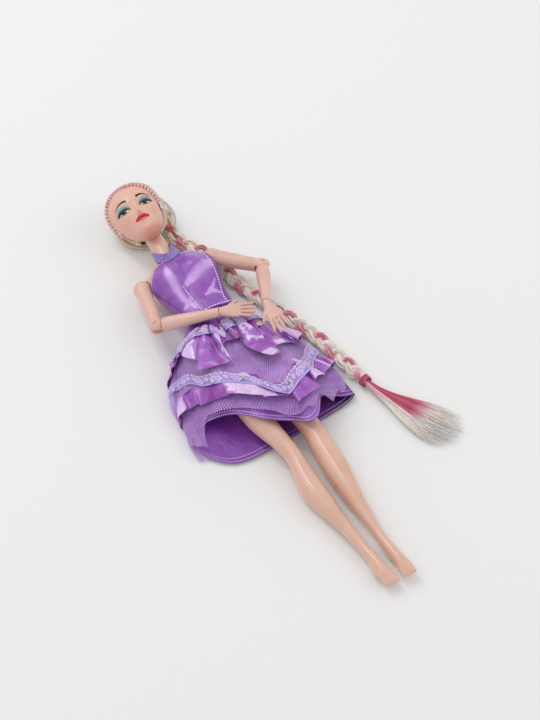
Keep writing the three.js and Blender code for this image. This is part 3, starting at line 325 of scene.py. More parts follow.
skirt_read = table(scaled([
    [-0.02, 0.280, 0.920, 2.70, 0.00], [0.00, 0.284, 0.922, 2.50, 0.00], [0.06, 0.330, 0.955, 1.70, 0.10],
    [0.13, 0.440, 1.000, 1.15, 0.45], [0.22, 0.600, 1.020, 1.00, 0.85], [0.35, 0.770, 1.050, 1.00, 1.00],
    [0.50, 0.880, 1.020, 1.00, 1.00], [0.70, 0.960, 0.960, 1.00, 1.00], [0.85, 0.990, 0.915, 1.00, 1.00],
    [1.00, 1.010, 0.880, 1.00, 1.00], [1.02, 1.015, 0.870, 1.00, 1.00]], 0, [1, 46, 22.4, 2.0, 1]))
hem_read = table([
    [-180, 1.00], [-140, 0.99], [-110, 0.86], [-90, 0.74], [-60, 0.68], [-35, 0.74], [-12, 0.92],
    [10, 1.00], [60, 1.00], [90, 0.94], [120, 0.96], [180, 1.00]])
waist, skirt_length = 3 + seat, 88


def wrap(turn):
    return (np.degrees(turn) + 180) % 360 - 180


def skirt_base(turn, share):
    """The skirt's form without its folds: an oval at the waist, a tent over the legs at the hem."""
    half, high, low, flat = skirt_read(share)
    s, c = np.sin(turn), np.cos(turn)
    oval = (high + low) / 2 + (high - low) / 2 * soft_power(c, 0.92)
    beyond = np.clip((np.abs(s) - 15.56 / half) / 0.5, 0, 1)
    drop = 1 - beyond * beyond * (3 - 2 * beyond)
    crest = low + 4.6 * np.sqrt(np.maximum(c, 0)) + (high - low - 4.6) * drop
    ground = low + 0.9 * ease(0.72, 1, np.abs(s))
    tent = np.where(c > 0, np.maximum(crest, low + 0.9), ground)
    y = waist - share * skirt_length * hem_read(wrap(turn))[0]
    return np.stack([half * s, y, oval + (tent - oval) * flat], -1)


# Mesh helpers
def new_piece(name, bm, finish, smooth=True):
    mesh = bpy.data.meshes.new(name)
    bm.to_mesh(mesh)
    bm.free()
    piece = bpy.data.objects.new(name, mesh)
    scene.collection.objects.link(piece)
    for one in finish if isinstance(finish, (list, tuple)) else [finish]:
        mesh.materials.append(one.mat)
    for polygon in mesh.polygons:
        polygon.use_smooth = smooth
    return piece


def applied(piece):
    """The piece with its modifiers worked into its mesh."""
    bpy.context.view_layer.update()
    whole = piece.evaluated_get(bpy.context.evaluated_depsgraph_get())
    mesh = bpy.data.meshes.new_from_object(whole)
    piece.modifiers.clear()
    old, piece.data = piece.data, mesh
    bpy.data.meshes.remove(old)
    for polygon in mesh.polygons:
        polygon.use_smooth = True
    return piece


def add_shape(bm, node):
    """A merged copy of a solid's faces."""
    fresh = bmesh.new()
    fresh.from_mesh(nodes[node].data)
    bmesh.ops.remove_doubles(fresh, verts=fresh.verts, dist=2e-6)
    carrier = bpy.data.meshes.new("carrier")
    fresh.to_mesh(carrier)
    fresh.free()
    bm.from_mesh(carrier)
    bpy.data.meshes.remove(carrier)


def moulded(name, parts, finish, voxel, rounds, shape=None):
    """A smooth moulded skin over one or more solids."""
    bm = bmesh.new()
    for part in parts:
        add_shape(bm, part)
    if shape:
        shape(bm)
    piece = new_piece(name, bm, finish)
    remesh = piece.modifiers.new("skin", "REMESH")
    remesh.mode, remesh.voxel_size = "VOXEL", voxel * MM
    soften = piece.modifiers.new("soften", "SMOOTH")
    soften.factor, soften.iterations = 0.5, rounds
    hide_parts(*parts)
    return applied(piece)


def tubes(name, lines, finish, sides=4):
    """Fine strands, each from rows of (x, y, z, radius, shade), and each with its own number."""
    bm = bmesh.new()
    shade_layer, strand_layer = (bm.verts.layers.float.new(key) for key in ("shade", "strand"))
    for number, line in enumerate(lines):
        line = np.asarray(line, float)
        points, radii, shades = line[:, :3], line[:, 3], line[:, 4]
        along = unit(np.gradient(points, axis=0))
        across = unit(np.cross(along, [0.13, 0.21, 0.97]))
        up = np.cross(across, along)
        made = bmesh.ops.create_grid(bm, x_segments=sides, y_segments=len(points) - 1, size=0.5)["verts"]
        for v in made:
            k = min(len(points) - 1, round((v.co.y + 0.5) * (len(points) - 1)))
            turn = (v.co.x + 0.5) * 2 * math.pi
            v.co = (points[k] + radii[k] * (across[k] * math.cos(turn) + up[k] * math.sin(turn))) * MM
            v[shade_layer], v[strand_layer] = float(shades[k]), number
    bmesh.ops.remove_doubles(bm, verts=bm.verts, dist=2e-6)
    return new_piece(name, bm, finish)


def curve_through(points, count):
    """Evenly read smooth line through the points, with its directions."""
    points = np.array(points, float)
    reach = np.concatenate([[0], np.cumsum(np.linalg.norm(np.diff(points, axis=0), axis=1))])
    read = table(np.column_stack([reach, points]))
    at = np.linspace(0, reach[-1], count)
    line = np.stack(read(at), -1)
    return line, unit(np.gradient(line, axis=0)), at


# Skin: soft vinyl arms, glossy hard legs, painted face
def skin_finish(name, tone, deep, roughness, coat, grain):
    """Moulded skin with a faint blush, and light that goes a little way into the vinyl."""
    finish = Finish(name, tone, roughness, Coat_Weight=coat, Coat_Roughness=0.07, Specular_IOR_Level=0.5)
    blush = finish.speckle(60, detail=2).ease(0.35, 0.75)
    finish.set("Base Color", finish.mix(blush * 0.42, tone, deep))
    finish.set("Roughness", finish.speckle(900, detail=4) * 0.10 + (roughness - 0.05))
    finish.set("Subsurface Weight", 0.12).set("Subsurface Radius", (0.003, 0.0012, 0.0007))
    finish.set("Subsurface Scale", 0.6)
    return finish.bump(finish.speckle(2600, detail=2), 0.00001 * grain)


arm_skin = skin_finish("arm_vinyl", (226, 184, 170), (212, 158, 144), 0.38, 0.2, 2.0)
leg_skin = skin_finish("leg_plastic", (226, 182, 162), (214, 158, 134), 0.24, 0.75, 1.0)
trunk_skin = skin_finish("trunk_plastic", (228, 182, 160), (214, 156, 132), 0.28, 0.5, 1.0)
pin_skin = skin_finish("pin_plastic", (214, 168, 152), (196, 144, 128), 0.4, 0.1, 1.0)


def points_of(mesh):
    """The mesh's points in millimetres."""
    points = np.empty(len(mesh.vertices) * 3, np.float32)
    mesh.vertices.foreach_get("co", points)
    return points.reshape(-1, 3).astype(float) / MM


# A reach of the form that takes in every point
everywhere = 99


def stay(points):
    return points


def onto_form(piece, fit, near=0.3, beyond=0.3, into=stay, out=stay):
    """Moves the moulded skin's points that lie near the ideal form onto it."""
    mesh = piece.data
    local = into(points_of(mesh))
    wanted = fit(local)
    away = np.linalg.norm(wanted - local, axis=1)
    reach = near(local) if callable(near) else near
    share = (1 - ease(reach, reach + beyond, away))[:, None]
    points = out(local + share * (wanted - local))
    mesh.vertices.foreach_set("co", (points * MM).astype(np.float32).ravel())
    mesh.update()
    return piece


def section_turn(points, middle, sizes, power):
    """The turn at which each point lies on its oval section."""
    half, high, low = sizes
    return np.arctan2(soft_power((points[:, 0] - middle) / half, 1 / power),
                      soft_power((points[:, 2] - (high + low) / 2) * 2 / (high - low), 1 / power))


def torso_fit(points):
    return torso_surface(section_turn(points, 0, torso_read(points[:, 1] - seat), 0.92), points[:, 1])


torso = moulded("torso_skin", ["torso_front", "torso_back"], trunk_skin, 0.5, 2)
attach(onto_form(torso, torso_fit), "torso")

# Arms: straight limbs between their joints, taken from the frame
joint_at = {joint["name"]: np.array(joint["pos_m"]) / MM for joint in frame["joints"]}
upper_read = table([
    [-0.170, 0.25], [-0.150, 0.50], [-0.105, 0.80], [-0.050, 0.96], [0.000, 1.00], [0.060, 0.96],
    [0.120, 0.89], [0.220, 0.88], [0.420, 0.87], [0.620, 0.83], [0.780, 0.795], [0.880, 0.79],
    [0.950, 0.87], [1.000, 0.904], [1.055, 0.86], [1.105, 0.68], [1.140, 0.42], [1.155, 0.20]])
fore_read = table([
    [0.050, 0.64], [0.110, 0.75], [0.190, 0.82], [0.320, 0.795], [0.520, 0.70], [0.760, 0.59],
    [0.900, 0.545], [1.000, 0.535]])
arm_radius = 5.1


def limb_fit(start, end, read):
    """Fits points to a round limb between two joints, its radius read from a table."""
    length = np.linalg.norm(end - start)
    along = (end - start) / length

    def fit(points):
        reach = (points - start) @ along
        off = points - start - reach[:, None] * along
        wide = np.linalg.norm(off, axis=1)
        inside = (reach / length > -0.17) & (reach / length < 1.15)
        radius = np.where(inside, read(reach / length)[0] * arm_radius, wide + 9)
        return start + reach[:, None] * along + off * (radius / np.maximum(wide, 1e-6))[:, None]
    return fit


def painted_node(node, finish):
    """A CAD solid kept as it is, with a procedural finish."""
    materials = nodes[node].data.materials
    materials.clear()
    materials.append(finish.mat)


for side in ("right", "left"):
    shoulder = joint_at[f"{side}_shoulder_swing"]
    elbow = joint_at[f"{side}_elbow_bend"]
    wrist = joint_at[f"{side}_wrist_turn"]
    upper = moulded(f"upper_arm_skin_{side}", [f"upper_arm_{side}"], arm_skin, 0.3, 2)
    fore = moulded(f"forearm_skin_{side}", [f"forearm_{side}"], arm_skin, 0.28, 2)
    onto_form(upper, limb_fit(shoulder, elbow, upper_read), 0.2, 0.25)
    onto_form(fore, limb_fit(elbow, wrist, fore_read), 0.2, 0.25)
    for piece, body_name in ((upper, "upper_arm"), (fore, "forearm")):
        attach(piece, f"{side}_{body_name}")
    for pin in (f"shoulder_peg_{side}", f"elbow_pin_{side}"):
        painted_node(pin, pin_skin)
for pin in ("neck_knob", "hip_axle"):
    painted_node(pin, pin_skin)

# Hands: the CAD's palm and fingers, softened
for side in ("right", "left"):
    hand = moulded(f"hand_skin_{side}", [f"hand_{side}"], arm_skin, 0.2, 5)
    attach(hand, f"{side}_hand")

# Legs, with toes at the end of the arched feet: shares from the toes' tip to the hip
leg_foot, leg_length, leg_half, leg_deep, leg_apart = -163.4, 172.8, 8.6, 20, 10.4
leg_rows = [
    [0.000, 0.279, 0.360, 0.260], [0.008, 0.488, 0.410, 0.230], [0.025, 0.570, 0.460, 0.210],
    [0.046, 0.547, 0.490, 0.195], [0.071, 0.442, 0.500, 0.080], [0.094, 0.430, 0.490, 0.002],
    [0.117, 0.407, 0.475, 0.020], [0.148, 0.384, 0.465, 0.115], [0.211, 0.453, 0.510, 0.110],
    [0.279, 0.593, 0.590, 0.050], [0.348, 0.674, 0.650, 0.012], [0.405, 0.651, 0.685, 0.070],
    [0.456, 0.593, 0.710, 0.175], [0.496, 0.616, 0.745, 0.200], [0.547, 0.651, 0.775, 0.200],
    [0.621, 0.756, 0.840, 0.195], [0.713, 0.872, 0.925, 0.185], [0.804, 0.965, 1.000, 0.190],
    [0.884, 0.980, 1.050, 0.225], [0.935, 0.960, 1.055, 0.240], [0.967, 0.860, 1.005, 0.290],
    [0.989, 0.581, 0.895, 0.385], [1.000, 0.186, 0.720, 0.560]]
leg_read = table(scaled(leg_rows, leg_foot, [leg_length, leg_half, leg_deep, leg_deep]))
# How far each leg's middle stands from the body's middle
line_shares = {
    "right": [[0.000, 0.03], [0.100, 0.13], [0.154, 0.23], [0.279, 0.45], [0.399, 0.64], [0.490, 0.76],
              [0.587, 0.90], [0.713, 1.00], [0.855, 1.01], [1.000, 1.00]],
    "left": [[0.000, 1.00], [0.100, 0.95], [0.154, 0.90], [0.279, 0.92], [0.399, 0.98], [0.490, 1.00],
             [0.587, 1.02], [0.713, 1.05], [0.855, 1.03], [1.000, 1.00]]}
# The same as the photograph shows it: knee and calf set as seen, slim ankle, narrow foot
foot_look = [
    [0.000, 0.450, 0.345, 0.250], [0.008, 0.500, 0.390, 0.230], [0.025, 0.480, 0.440, 0.210],
    [0.046, 0.440, 0.475, 0.195], [0.071, 0.400, 0.490, 0.080], [0.094, 0.395, 0.485, 0.002],
    [0.117, 0.370, 0.470, 0.020], [0.148, 0.345, 0.455, 0.115], [0.211, 0.390, 0.490, 0.120],
    [0.279, 0.500, 0.560, 0.060]]
thigh_look = leg_rows[-7:]
calf_look = {
    "right": [[0.348, 0.680, 0.630, 0.012], [0.405, 0.780, 0.680, 0.030], [0.460, 0.700, 0.700, 0.090],
              [0.510, 0.580, 0.715, 0.170], [0.550, 0.555, 0.740, 0.200], [0.600, 0.620, 0.780, 0.200],
              [0.660, 0.765, 0.860, 0.195]],
    "left": [[0.348, 0.660, 0.630, 0.012], [0.405, 0.770, 0.680, 0.030], [0.460, 0.830, 0.710, 0.070],
             [0.510, 0.800, 0.730, 0.130], [0.560, 0.730, 0.755, 0.180], [0.600, 0.710, 0.780, 0.200],
             [0.660, 0.790, 0.860, 0.195]]}
line_look = {
    "right": [[0.000, 0.03], [0.100, 0.13], [0.154, 0.22], [0.279, 0.45], [0.360, 0.62], [0.405, 0.68],
              [0.460, 0.64], [0.510, 0.56], [0.550, 0.54], [0.600, 0.65], [0.660, 0.86], [0.713, 0.98],
              [0.855, 1.01], [1.000, 1.00]],
    "left": [[0.000, 1.00], [0.100, 0.95], [0.154, 0.90], [0.279, 0.92], [0.405, 1.04], [0.467, 1.09],
             [0.510, 1.13], [0.587, 1.17], [0.650, 1.12], [0.713, 1.06], [0.855, 1.03], [1.000, 1.00]]}
# Toes from the big one outward: across from the foot's middle, back from the tip, half width, length
toes = [[-0.50, 0.2, 1.05, 2.2], [-0.16, 0.2, 0.78, 2.0], [0.12, 0.5, 0.74, 1.9], [0.38, 0.9, 0.70, 1.8],
        [0.62, 1.5, 0.68, 1.7]]


def leg_piece(side, sign, heel_reach):
    """One leg: first onto the form of the solid, then to the finer shape of the photograph."""
    line = table(scaled(line_shares[side], leg_foot, [leg_length, sign * leg_apart]))
    seen_line = table(scaled(line_look[side], leg_foot, [leg_length, sign * leg_apart]))
    seen_read = table(scaled(foot_look + calf_look[side] + thigh_look,
                             leg_foot, [leg_length, leg_half, leg_deep, leg_deep]))

    def leg_fit(points):
        y = points[:, 1]
        middle, sizes = line(y)[0], leg_read(y)
        return section(middle, y, sizes, section_turn(points, middle, sizes, 0.96), 0.96)

    def as_seen(points):
        x, y, z = points.T
        (half, high, low), (new_half, new_high, new_low) = leg_read(y), seen_read(y)
        heel = np.exp(-((y + 152.5) / 3.6) ** 2) * ease(high, low, z) * heel_reach
        return np.stack([seen_line(y)[0] + (x - line(y)[0]) * new_half / half + sign * heel, y,
                         new_low + (z - low) * (new_high - new_low) / (high - low)], -1)

    def add_toes(bm):
        for across, behind, half, length in toes:
            x = line(-163.0)[0] + sign * across * 4.6
            place = Vector((float(x), -161.9 + behind, 6.2 - abs(across) * 0.4)) * MM
            made = bmesh.ops.create_uvsphere(bm, u_segments=14, v_segments=9, radius=1.0)["verts"]
            shape = Matrix.Translation(place) @ Matrix.Rotation(-0.18, 4, "X") @ Matrix.Diagonal(
                (half * MM, length * MM, half * 1.05 * MM, 1))
            bmesh.ops.transform(bm, matrix=shape, verts=made)

    leg = moulded(f"leg_skin_{side}", [f"leg_{side}"], leg_skin, 0.42, 2, add_toes)
    onto_form(leg, leg_fit, 0.25, 0.25)
    onto_form(leg, as_seen, everywhere)
    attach(leg, f"{side}_leg")


leg_piece("right", -1, 2.4)
leg_piece("left", 1, 0.6)


# Head: face forms and face paint share one frame on the face, its middle between the eyes
face_middle, face_tilt = (-1.05, 15.4), 0.11
# Across, up, rise, reach across, reach up, in millimetres
modelled_face = [
    [0.5, -4.3, 2.5, 1.25, 1.45], [0.4, -1.0, 1.35, 1.1, 2.7], [1.65, -5.0, 0.75, 0.6, 0.7],
    [-0.65, -5.0, 0.75, 0.6, 0.7], [-6.75, 0.3, -1.1, 3.3, 2.0], [6.75, 0.3, -1.1, 3.3, 2.0],
    [-6.75, 0.5, 0.7, 1.9, 1.0], [6.75, 0.5, 0.7, 1.9, 1.0], [0.0, 4.4, 0.4, 7.5, 1.6],
    [0.7, -7.25, 0.85, 2.5, 0.75], [0.7, -9.35, 1.05, 2.1, 0.85], [0.7, -8.3, -0.45, 3.4, 0.4],
    [0.6, -6.2, -0.3, 0.5, 0.7], [0.7, -12.6, 0.9, 3.4, 2.4], [-8.0, -5.0, 0.8, 3.3, 3.2],
    [8.4, -5.0, 0.8, 3.3, 3.2], [0.7, -11.2, -0.4, 2.6, 0.8]]


def face_place(across, up):
    x = face_middle[0] + across + face_tilt * up
    return x / head_half, (face_middle[1] - face_tilt * across + up) / head_length


face_looks = [[*face_place(u, v), rise / head_half, a / head_half, b / head_half]
              for u, v, rise, a, b in modelled_face]


def unposed(points):
    """Points of the turned head where the upright head has them."""
    return (points - head_turn_matrix[:3, 3]) @ head_turn_matrix[:3, :3]


def head_fit(points):
    turn = section_turn(points, 0, head_read(points[:, 1]), 0.95)
    return head_surface(turn, points[:, 1])


def add_ears(bm):
    for sign in (-1, 1):
        rim = bmesh.ops.create_uvsphere(bm, u_segments=24, v_segments=16, radius=1.0)["verts"]
        seat_ear = (Matrix(head_pose) @ Matrix.Translation(Vector((sign * 13.9, head_foot + 12.6, 13.8)))
                    @ Matrix.Rotation(sign * 0.35, 4, "Y") @ Matrix.Rotation(0.25, 4, "X"))
        shape = Matrix.Scale(MM, 4) @ seat_ear @ Matrix.Diagonal((0.95, 2.9, 1.75, 1))
        bmesh.ops.transform(bm, matrix=shape, verts=rim)


def face_finish():
    """The painted face, in millimetres across (u) and up (v) from the middle between the eyes."""
    paint = Finish("face_paint", (228, 180, 162), 0.4, Coat_Weight=0.15, Coat_Roughness=0.2)
    face = paint.node("ShaderNodeAttribute", {"attribute_name": "face"}, out=1)
    x, y, z = paint.split(face)
    front_share = z.ease(14, 17)
    dx, dy = x - face_middle[0], y - face_middle[1]
    u, v = dx - dy * face_tilt, dx * face_tilt + dy
    wide = abs(u)
    color = paint.mix(paint.speckle(45, detail=2).ease(0.3, 0.8) * 0.25, (230, 182, 164), (220, 162, 144))
    cheek = 1 - ((wide - 8.3) * (wide - 8.3) / 16 + (v + 5) * (v + 5) / 12).ease(0.0, 1.4)
    color = paint.mix(cheek * 0.14, color, (224, 136, 124))
    # Painted shade under the jaw, deepening toward the neck
    under_chin_shade = (v * -1).ease(11.0, 18.0) * u.ease(-11.0, 3.0)
    color = paint.mix(under_chin_shade * 0.6, color, (184, 88, 68))
    # Eye: the lids are two arcs between the corners, the outer corner a little higher
    eye_apart, eye_half = 6.75, 3.55
    a = (wide - eye_apart) / eye_half
    hollow = 1 - a * a
    rise = (wide - eye_apart) * 0.06
    upper = hollow * 1.05 + rise
    lower = hollow * -0.82 + rise
    opened = (v - upper).ease(0.12, -0.12) * (v - lower).ease(-0.12, 0.12)
    opened = opened * abs(a).ease(1.04, 0.94) * front_share
    shadow_top = upper + 2.9 + (wide - eye_apart) * 0.18
    shade = (v - shadow_top).ease(0.9, -1.2) * (v - upper).ease(-0.5, 0.1) * abs(a + 0.02).ease(1.35, 0.75)
    sparkle = paint.speckle(3000, detail=2).ease(0.45, 0.75)
    teal = paint.mix(sparkle, (96, 158, 168), (186, 222, 226))
    teal = paint.mix((v - upper).ease(2.0, 0.5), teal, (34, 78, 84))
    teal = paint.mix(u.ease(-1, 1) * 0.45, teal, (40, 84, 90))
    color = paint.mix(shade * 0.92 * front_share, color, teal)
    lower_shade = (v - lower).ease(-1.0, -0.1) * (v - lower).ease(0.3, -0.1) * abs(a).ease(1.25, 0.8)
    color = paint.mix(lower_shade * 0.55 * front_share, color, (86, 120, 120))
    color = paint.mix(opened, color, (238, 234, 230))
    off_pupil = u - u.maths("SIGN") * eye_apart
    iris_off = (off_pupil + 0.15) / 1.72
    iris = (iris_off * iris_off + (v - 0.45) * (v - 0.45) / 2.6).maths("SQRT")
    streak = paint.speckle(2600, detail=1).ease(0.35, 0.7)
    iris_color = paint.mix(streak, (44, 26, 20), (104, 66, 44))
    iris_color = paint.mix(iris.ease(0.72, 0.5), iris_color, (10, 8, 10))
    color = paint.mix(iris.ease(1.06, 0.94) * opened, color, iris_color)
    for across, up, size in ((-0.75, 0.95, 0.42), (0.85, -0.05, 0.26)):
        glint = ((off_pupil - across) ** 2 + (v - 0.45 - up) ** 2).maths("SQRT")
        color = paint.mix(glint.ease(size, size * 0.6) * opened, color, (255, 255, 255))
    # Lashes: a thick upper line with a wing and separate hairs, fine lower hairs
    line_thick = wide * 0.09 + 0.12
    line = (abs(v - upper - 0.2) - line_thick * 0.75).ease(0.14, -0.1) * abs(a).ease(1.25, 1.02)
    hairs = (wide * 1.15 + v * 0.55).cell()
    upper_hairs = abs(hairs).ease(0.34, 0.14) * (v - upper).ease(1.9, 0.7) * (v - upper).ease(-0.1, 0.2)
    upper_hairs = upper_hairs * a.ease(-1.1, -0.3) * a.ease(1.5, 1.2)
    low_hairs = abs((wide * 2.1 - v * 0.5).cell()).ease(0.2, 0.08) * (v - lower).ease(-0.9, -0.25)
    low_hairs = low_hairs * (v - lower).ease(0.15, -0.05) * abs(a).ease(1.05, 0.85)
    lid_line = abs(v - lower).ease(0.16, 0.04) * abs(a).ease(1.05, 0.95)
    ink = line.highest(upper_hairs).highest(low_hairs * 0.85).highest(lid_line * 0.7) * front_share
    color = paint.mix(ink, color, (16, 14, 18))
    # Brows: one tapering arc each
    from_peak = wide - 6.0
    brow = 5.95 - from_peak * from_peak * 0.085
    thick = 0.88 - (wide - 3.0) * 0.082
    brow_mask = (abs(v - brow) - thick).ease(0.16, -0.16) * wide.ease(3.0, 3.3) * wide.ease(11.8, 10.6)
    color = paint.mix(brow_mask * front_share, color, (44, 12, 16))
    # Lips: a bow above, a full curve below, parted by a dark line, with a painted highlight on the lower lip
    across = abs(u - 0.7)
    edge = across / 4.55
    fall = 1 - edge * edge
    bow = fall * 2.1 + 0.25 - (1 - across.ease(0.0, 1.0)) * 0.6
    lift = (v + 8.45) + edge * edge * 0.25
    lip = (lift - bow).ease(0.14, -0.14) * (lift + fall * 1.75).ease(-0.14, 0.14) * edge.ease(1.02, 0.96)
    lip = lip * front_share
    red = paint.mix(lift.ease(-0.2, -1.2), (206, 12, 40), (222, 44, 70))
    color = paint.mix(lip, color, red)
    part = abs(lift).ease(0.17, 0.05) * edge.ease(0.98, 0.8) * front_share
    color = paint.mix(part * 0.75, color, (96, 4, 20))
    # A painted highlight along the middle of the lower lip
    lower_lip_highlight = (abs(lift + 0.85) - 0.16).ease(0.2, -0.1) * edge.ease(0.62, 0.35) * front_share
    color = paint.mix(lower_lip_highlight * 0.75, color, (248, 206, 214))
    paint.set("Base Color", color)
    paint.set("Roughness", 0.44 - lip * 0.26 - opened * 0.3)
    paint.set("Subsurface Weight", 0.1).set("Subsurface Radius", (0.003, 0.0012, 0.0007))
    return paint.bump(paint.speckle(2400, detail=2), 0.00002)


head = moulded("head_skin", ["head"], face_finish(), 0.32, 2, add_ears)


def head_near(points):
    """The form counts fully on the face, and only close by at the ears and the neck."""
    return 0.3 + 1.3 * ease(13, 19, points[:, 2]) * ease(96.5, 98.5, points[:, 1])


def jaw_lower(points):
    """The jaw reaches a little further down the neck than the solid's rim."""
    drop = 5.4 * ease(102.0, 94.5, points[:, 1])
    return points - np.stack([0.1 * drop, drop, 0.1 * drop], -1)


onto_form(head, head_fit, head_near, 0.5, unposed, posed)
onto_form(head, jaw_lower, everywhere, into=unposed, out=posed)
on_face = unposed(points_of(head.data))
on_face[:, 1] -= head_foot
face_mark = head.data.attributes.new("face", "FLOAT_VECTOR", "POINT")
face_mark.data.foreach_set("vector", on_face.astype(np.float32).ravel())
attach(head, "head")


# Cloth finishes. The fold mark on a piece runs from 0 in a valley to 1 on a crest; the satin paints light and
# shade by it, dark in the valleys and pale on the crests.
def marked(finish, name):
    return finish.node("ShaderNodeAttribute", {"attribute_name": name}, out=2)


def stitch_row(distance, along, at, pitch, length=0.62, wide=0.16):
    """White stitches along a line that lies at a distance from an edge."""
    row = abs(distance - at).ease(wide * 1.5, wide * 0.6)
    return row * abs((along / pitch).cell()).ease(length / 2 + 0.08, length / 2 - 0.08)


def satin_finish(name, valley, middle, crest, roughness=0.24, painted_gleams=0.0, ripple=0.0):
    """Satin: valleys in painted shade, crests in painted light with a painted gleam and a fine grain, painted
    shade in the pleats, threads and puckers.
    """
    finish = Finish(name, middle, roughness, Specular_IOR_Level=0.75, Sheen_Weight=0.25, Sheen_Roughness=0.35)
    # The painted light and shade follow the fold mark, made blotchy by a noise
    fold = marked(finish, "fold") + (finish.speckle(170, detail=3, rough=0.6) - 0.5) * ripple
    color = finish.mix(fold.ease(0.0, 0.5), valley, middle)
    color = finish.mix(fold.ease(0.55, 1.0), color, crest)
    # A painted gleam just short of the crests
    painted_gleam = fold.ease(0.66, 0.76) * fold.ease(0.94, 0.84)
    color = finish.mix(painted_gleam * painted_gleams, color, (250, 240, 255))
    # The weave's grain, showing most in the painted light of the crests, and pale blotches of the crest
    # colour
    grain = finish.speckle(1500, detail=3, rough=0.7).ease(0.35, 0.75) * fold.ease(0.3, 1.0)
    cloud = finish.speckle(140, detail=3).ease(0.35, 0.7) * 0.14 + grain * 0.35
    color = finish.mix(cloud, color, crest)
    # Painted shade in the bottoms of the pleats
    finish.set("Base Color", finish.mix(marked(finish, "crease") * 0.85, color, (44, 12, 66)))
    along, down = marked(finish, "along"), marked(finish, "down")
    threads = (along * 9).sine() * 0.5 + (down * 3.1 + finish.speckle(500, detail=2) * 3).sine() * 0.5
    finish.set("Roughness", finish.speckle(320, detail=3) * 0.14 + (roughness - 0.06))
    puckers = finish.speckle(95, detail=4, rough=0.6)
    return finish.bump(threads * 0.00002 + puckers * 0.0016, 1.0, 0.55)


def net_finish(name, thread, pitch, share):
    """Net of fine threads: two slanting sets and cross threads, open between, with a frayed hem."""
    finish = Finish(name, thread, 0.55, Sheen_Weight=0.2)
    along, down, hem = marked(finish, "along"), marked(finish, "down"), marked(finish, "hem")
    wander = finish.speckle(220, detail=2) * 0.5
    slant_a = abs(((along + down * 0.58 + wander) / pitch).cell())
    slant_b = abs(((along - down * 0.58 - wander) / pitch).cell())
    cross = abs((down / (pitch * 0.86)).cell())
    threads = slant_a.highest(slant_b).highest(cross).ease(0.5 - share, 0.5 - share * 0.55)
    fringe = 1.0 + finish.speckle(260, detail=2) * 1.8
    comb = abs((along / (pitch * 0.7)).cell()).ease(0.26, 0.34)
    comb = comb * (hem - finish.speckle(700) * 0.9).ease(-0.1, 0.1)
    frayed = (hem - fringe).ease(0.1, -0.1)
    paler = tuple(min(255, part + 26) for part in thread)
    tone = finish.mix(finish.speckle(160, detail=3).ease(0.3, 0.7), thread, paler)
    finish.set("Base Color", finish.mix(frayed * 0.6, tone, (226, 198, 240)))
    finish.set("Alpha", threads * (1 - frayed) + comb * frayed)
    return finish


def lace_finish(name, motif, height):
    """Lace: flowers in a fine ground, loops along the top, and a satin ribbon at the foot."""
    finish = Finish(name, (188, 160, 226), 0.5, Sheen_Weight=0.2, Specular_IOR_Level=0.5)
    along, down = marked(finish, "along"), marked(finish, "down")
    cell = (along / motif).cell() * motif
    dy = down - height * 0.52
    far = (cell * cell + dy * dy).maths("SQRT")
    angle = dy.maths("ARCTAN2", cell)
    petals = (angle * 6).sine() * 0.45 + 1.7
    flower = abs(far - petals).ease(0.42, 0.2)
    heart = far.ease(0.62, 0.42)
    side_cell = (along / motif + 0.5).cell() * motif
    leaf_y = down - height * 0.42
    leaf_far = (side_cell * side_cell * 2.2 + leaf_y * leaf_y).maths("SQRT")
    leaf = abs(leaf_far - 1.05).ease(0.4, 0.2)
    loop_pitch = motif / 4
    loop_cell = (along / loop_pitch).cell() * loop_pitch
    loop_y = down - 0.75
    loop_far = (loop_cell * loop_cell + loop_y * loop_y).maths("SQRT")
    loops = abs(loop_far - 0.58).ease(0.34, 0.2) * down.ease(1.5, 1.3)
    ground_pitch = 0.8
    ground = abs(((along + down) / ground_pitch).cell()).highest(
        abs(((along - down) / ground_pitch).cell())).ease(0.22, 0.3)
    ground = ground * down.ease(1.2, 1.5)
    ribbon_at = height - 1.15
    ribbon = down.ease(ribbon_at - 0.1, ribbon_at + 0.1)
    thick = flower.highest(heart).highest(leaf).highest(loops)
    filled = (far - 2.7).ease(0.1, -0.1).highest((leaf_far - 1.7).ease(0.1, -0.1)) * 0.85
    mask = thick.highest(ground * 0.95).highest(ribbon).highest(filled)
    color = finish.mix(ribbon, finish.mix(thick, (186, 156, 226), (232, 218, 248)), (190, 172, 236))
    # Painted shade in the bottoms of the pleats
    finish.set("Base Color", finish.mix(marked(finish, "crease") * 0.85, color, (56, 20, 84)))
    finish.set("Alpha", mask)
    return finish.bump(thick * 0.6 + ribbon, 0.0002, 0.8)


satin_bodice = satin_finish("bodice_satin", (112, 42, 152), (146, 76, 182), (208, 166, 236), 0.26, 0.0, 0.25)
satin_lilac = satin_finish("ruffle_satin", (138, 24, 158), (158, 82, 190), (222, 186, 240), 0.2, 0.5, 1.1)
lining_finish = satin_finish("lining_satin", (94, 22, 124), (122, 48, 160), (150, 86, 188), 0.32, 0.0, 0.2)
net_upper = net_finish("net_upper", (186, 142, 214), 1.25, 0.17)
net_lower = net_finish("net_lower", (180, 134, 210), 1.35, 0.17)
lace_upper_finish = lace_finish("lace_upper", 7.4, 7.6)
lace_lower_finish = lace_finish("lace_lower", 8.2, 8.6)


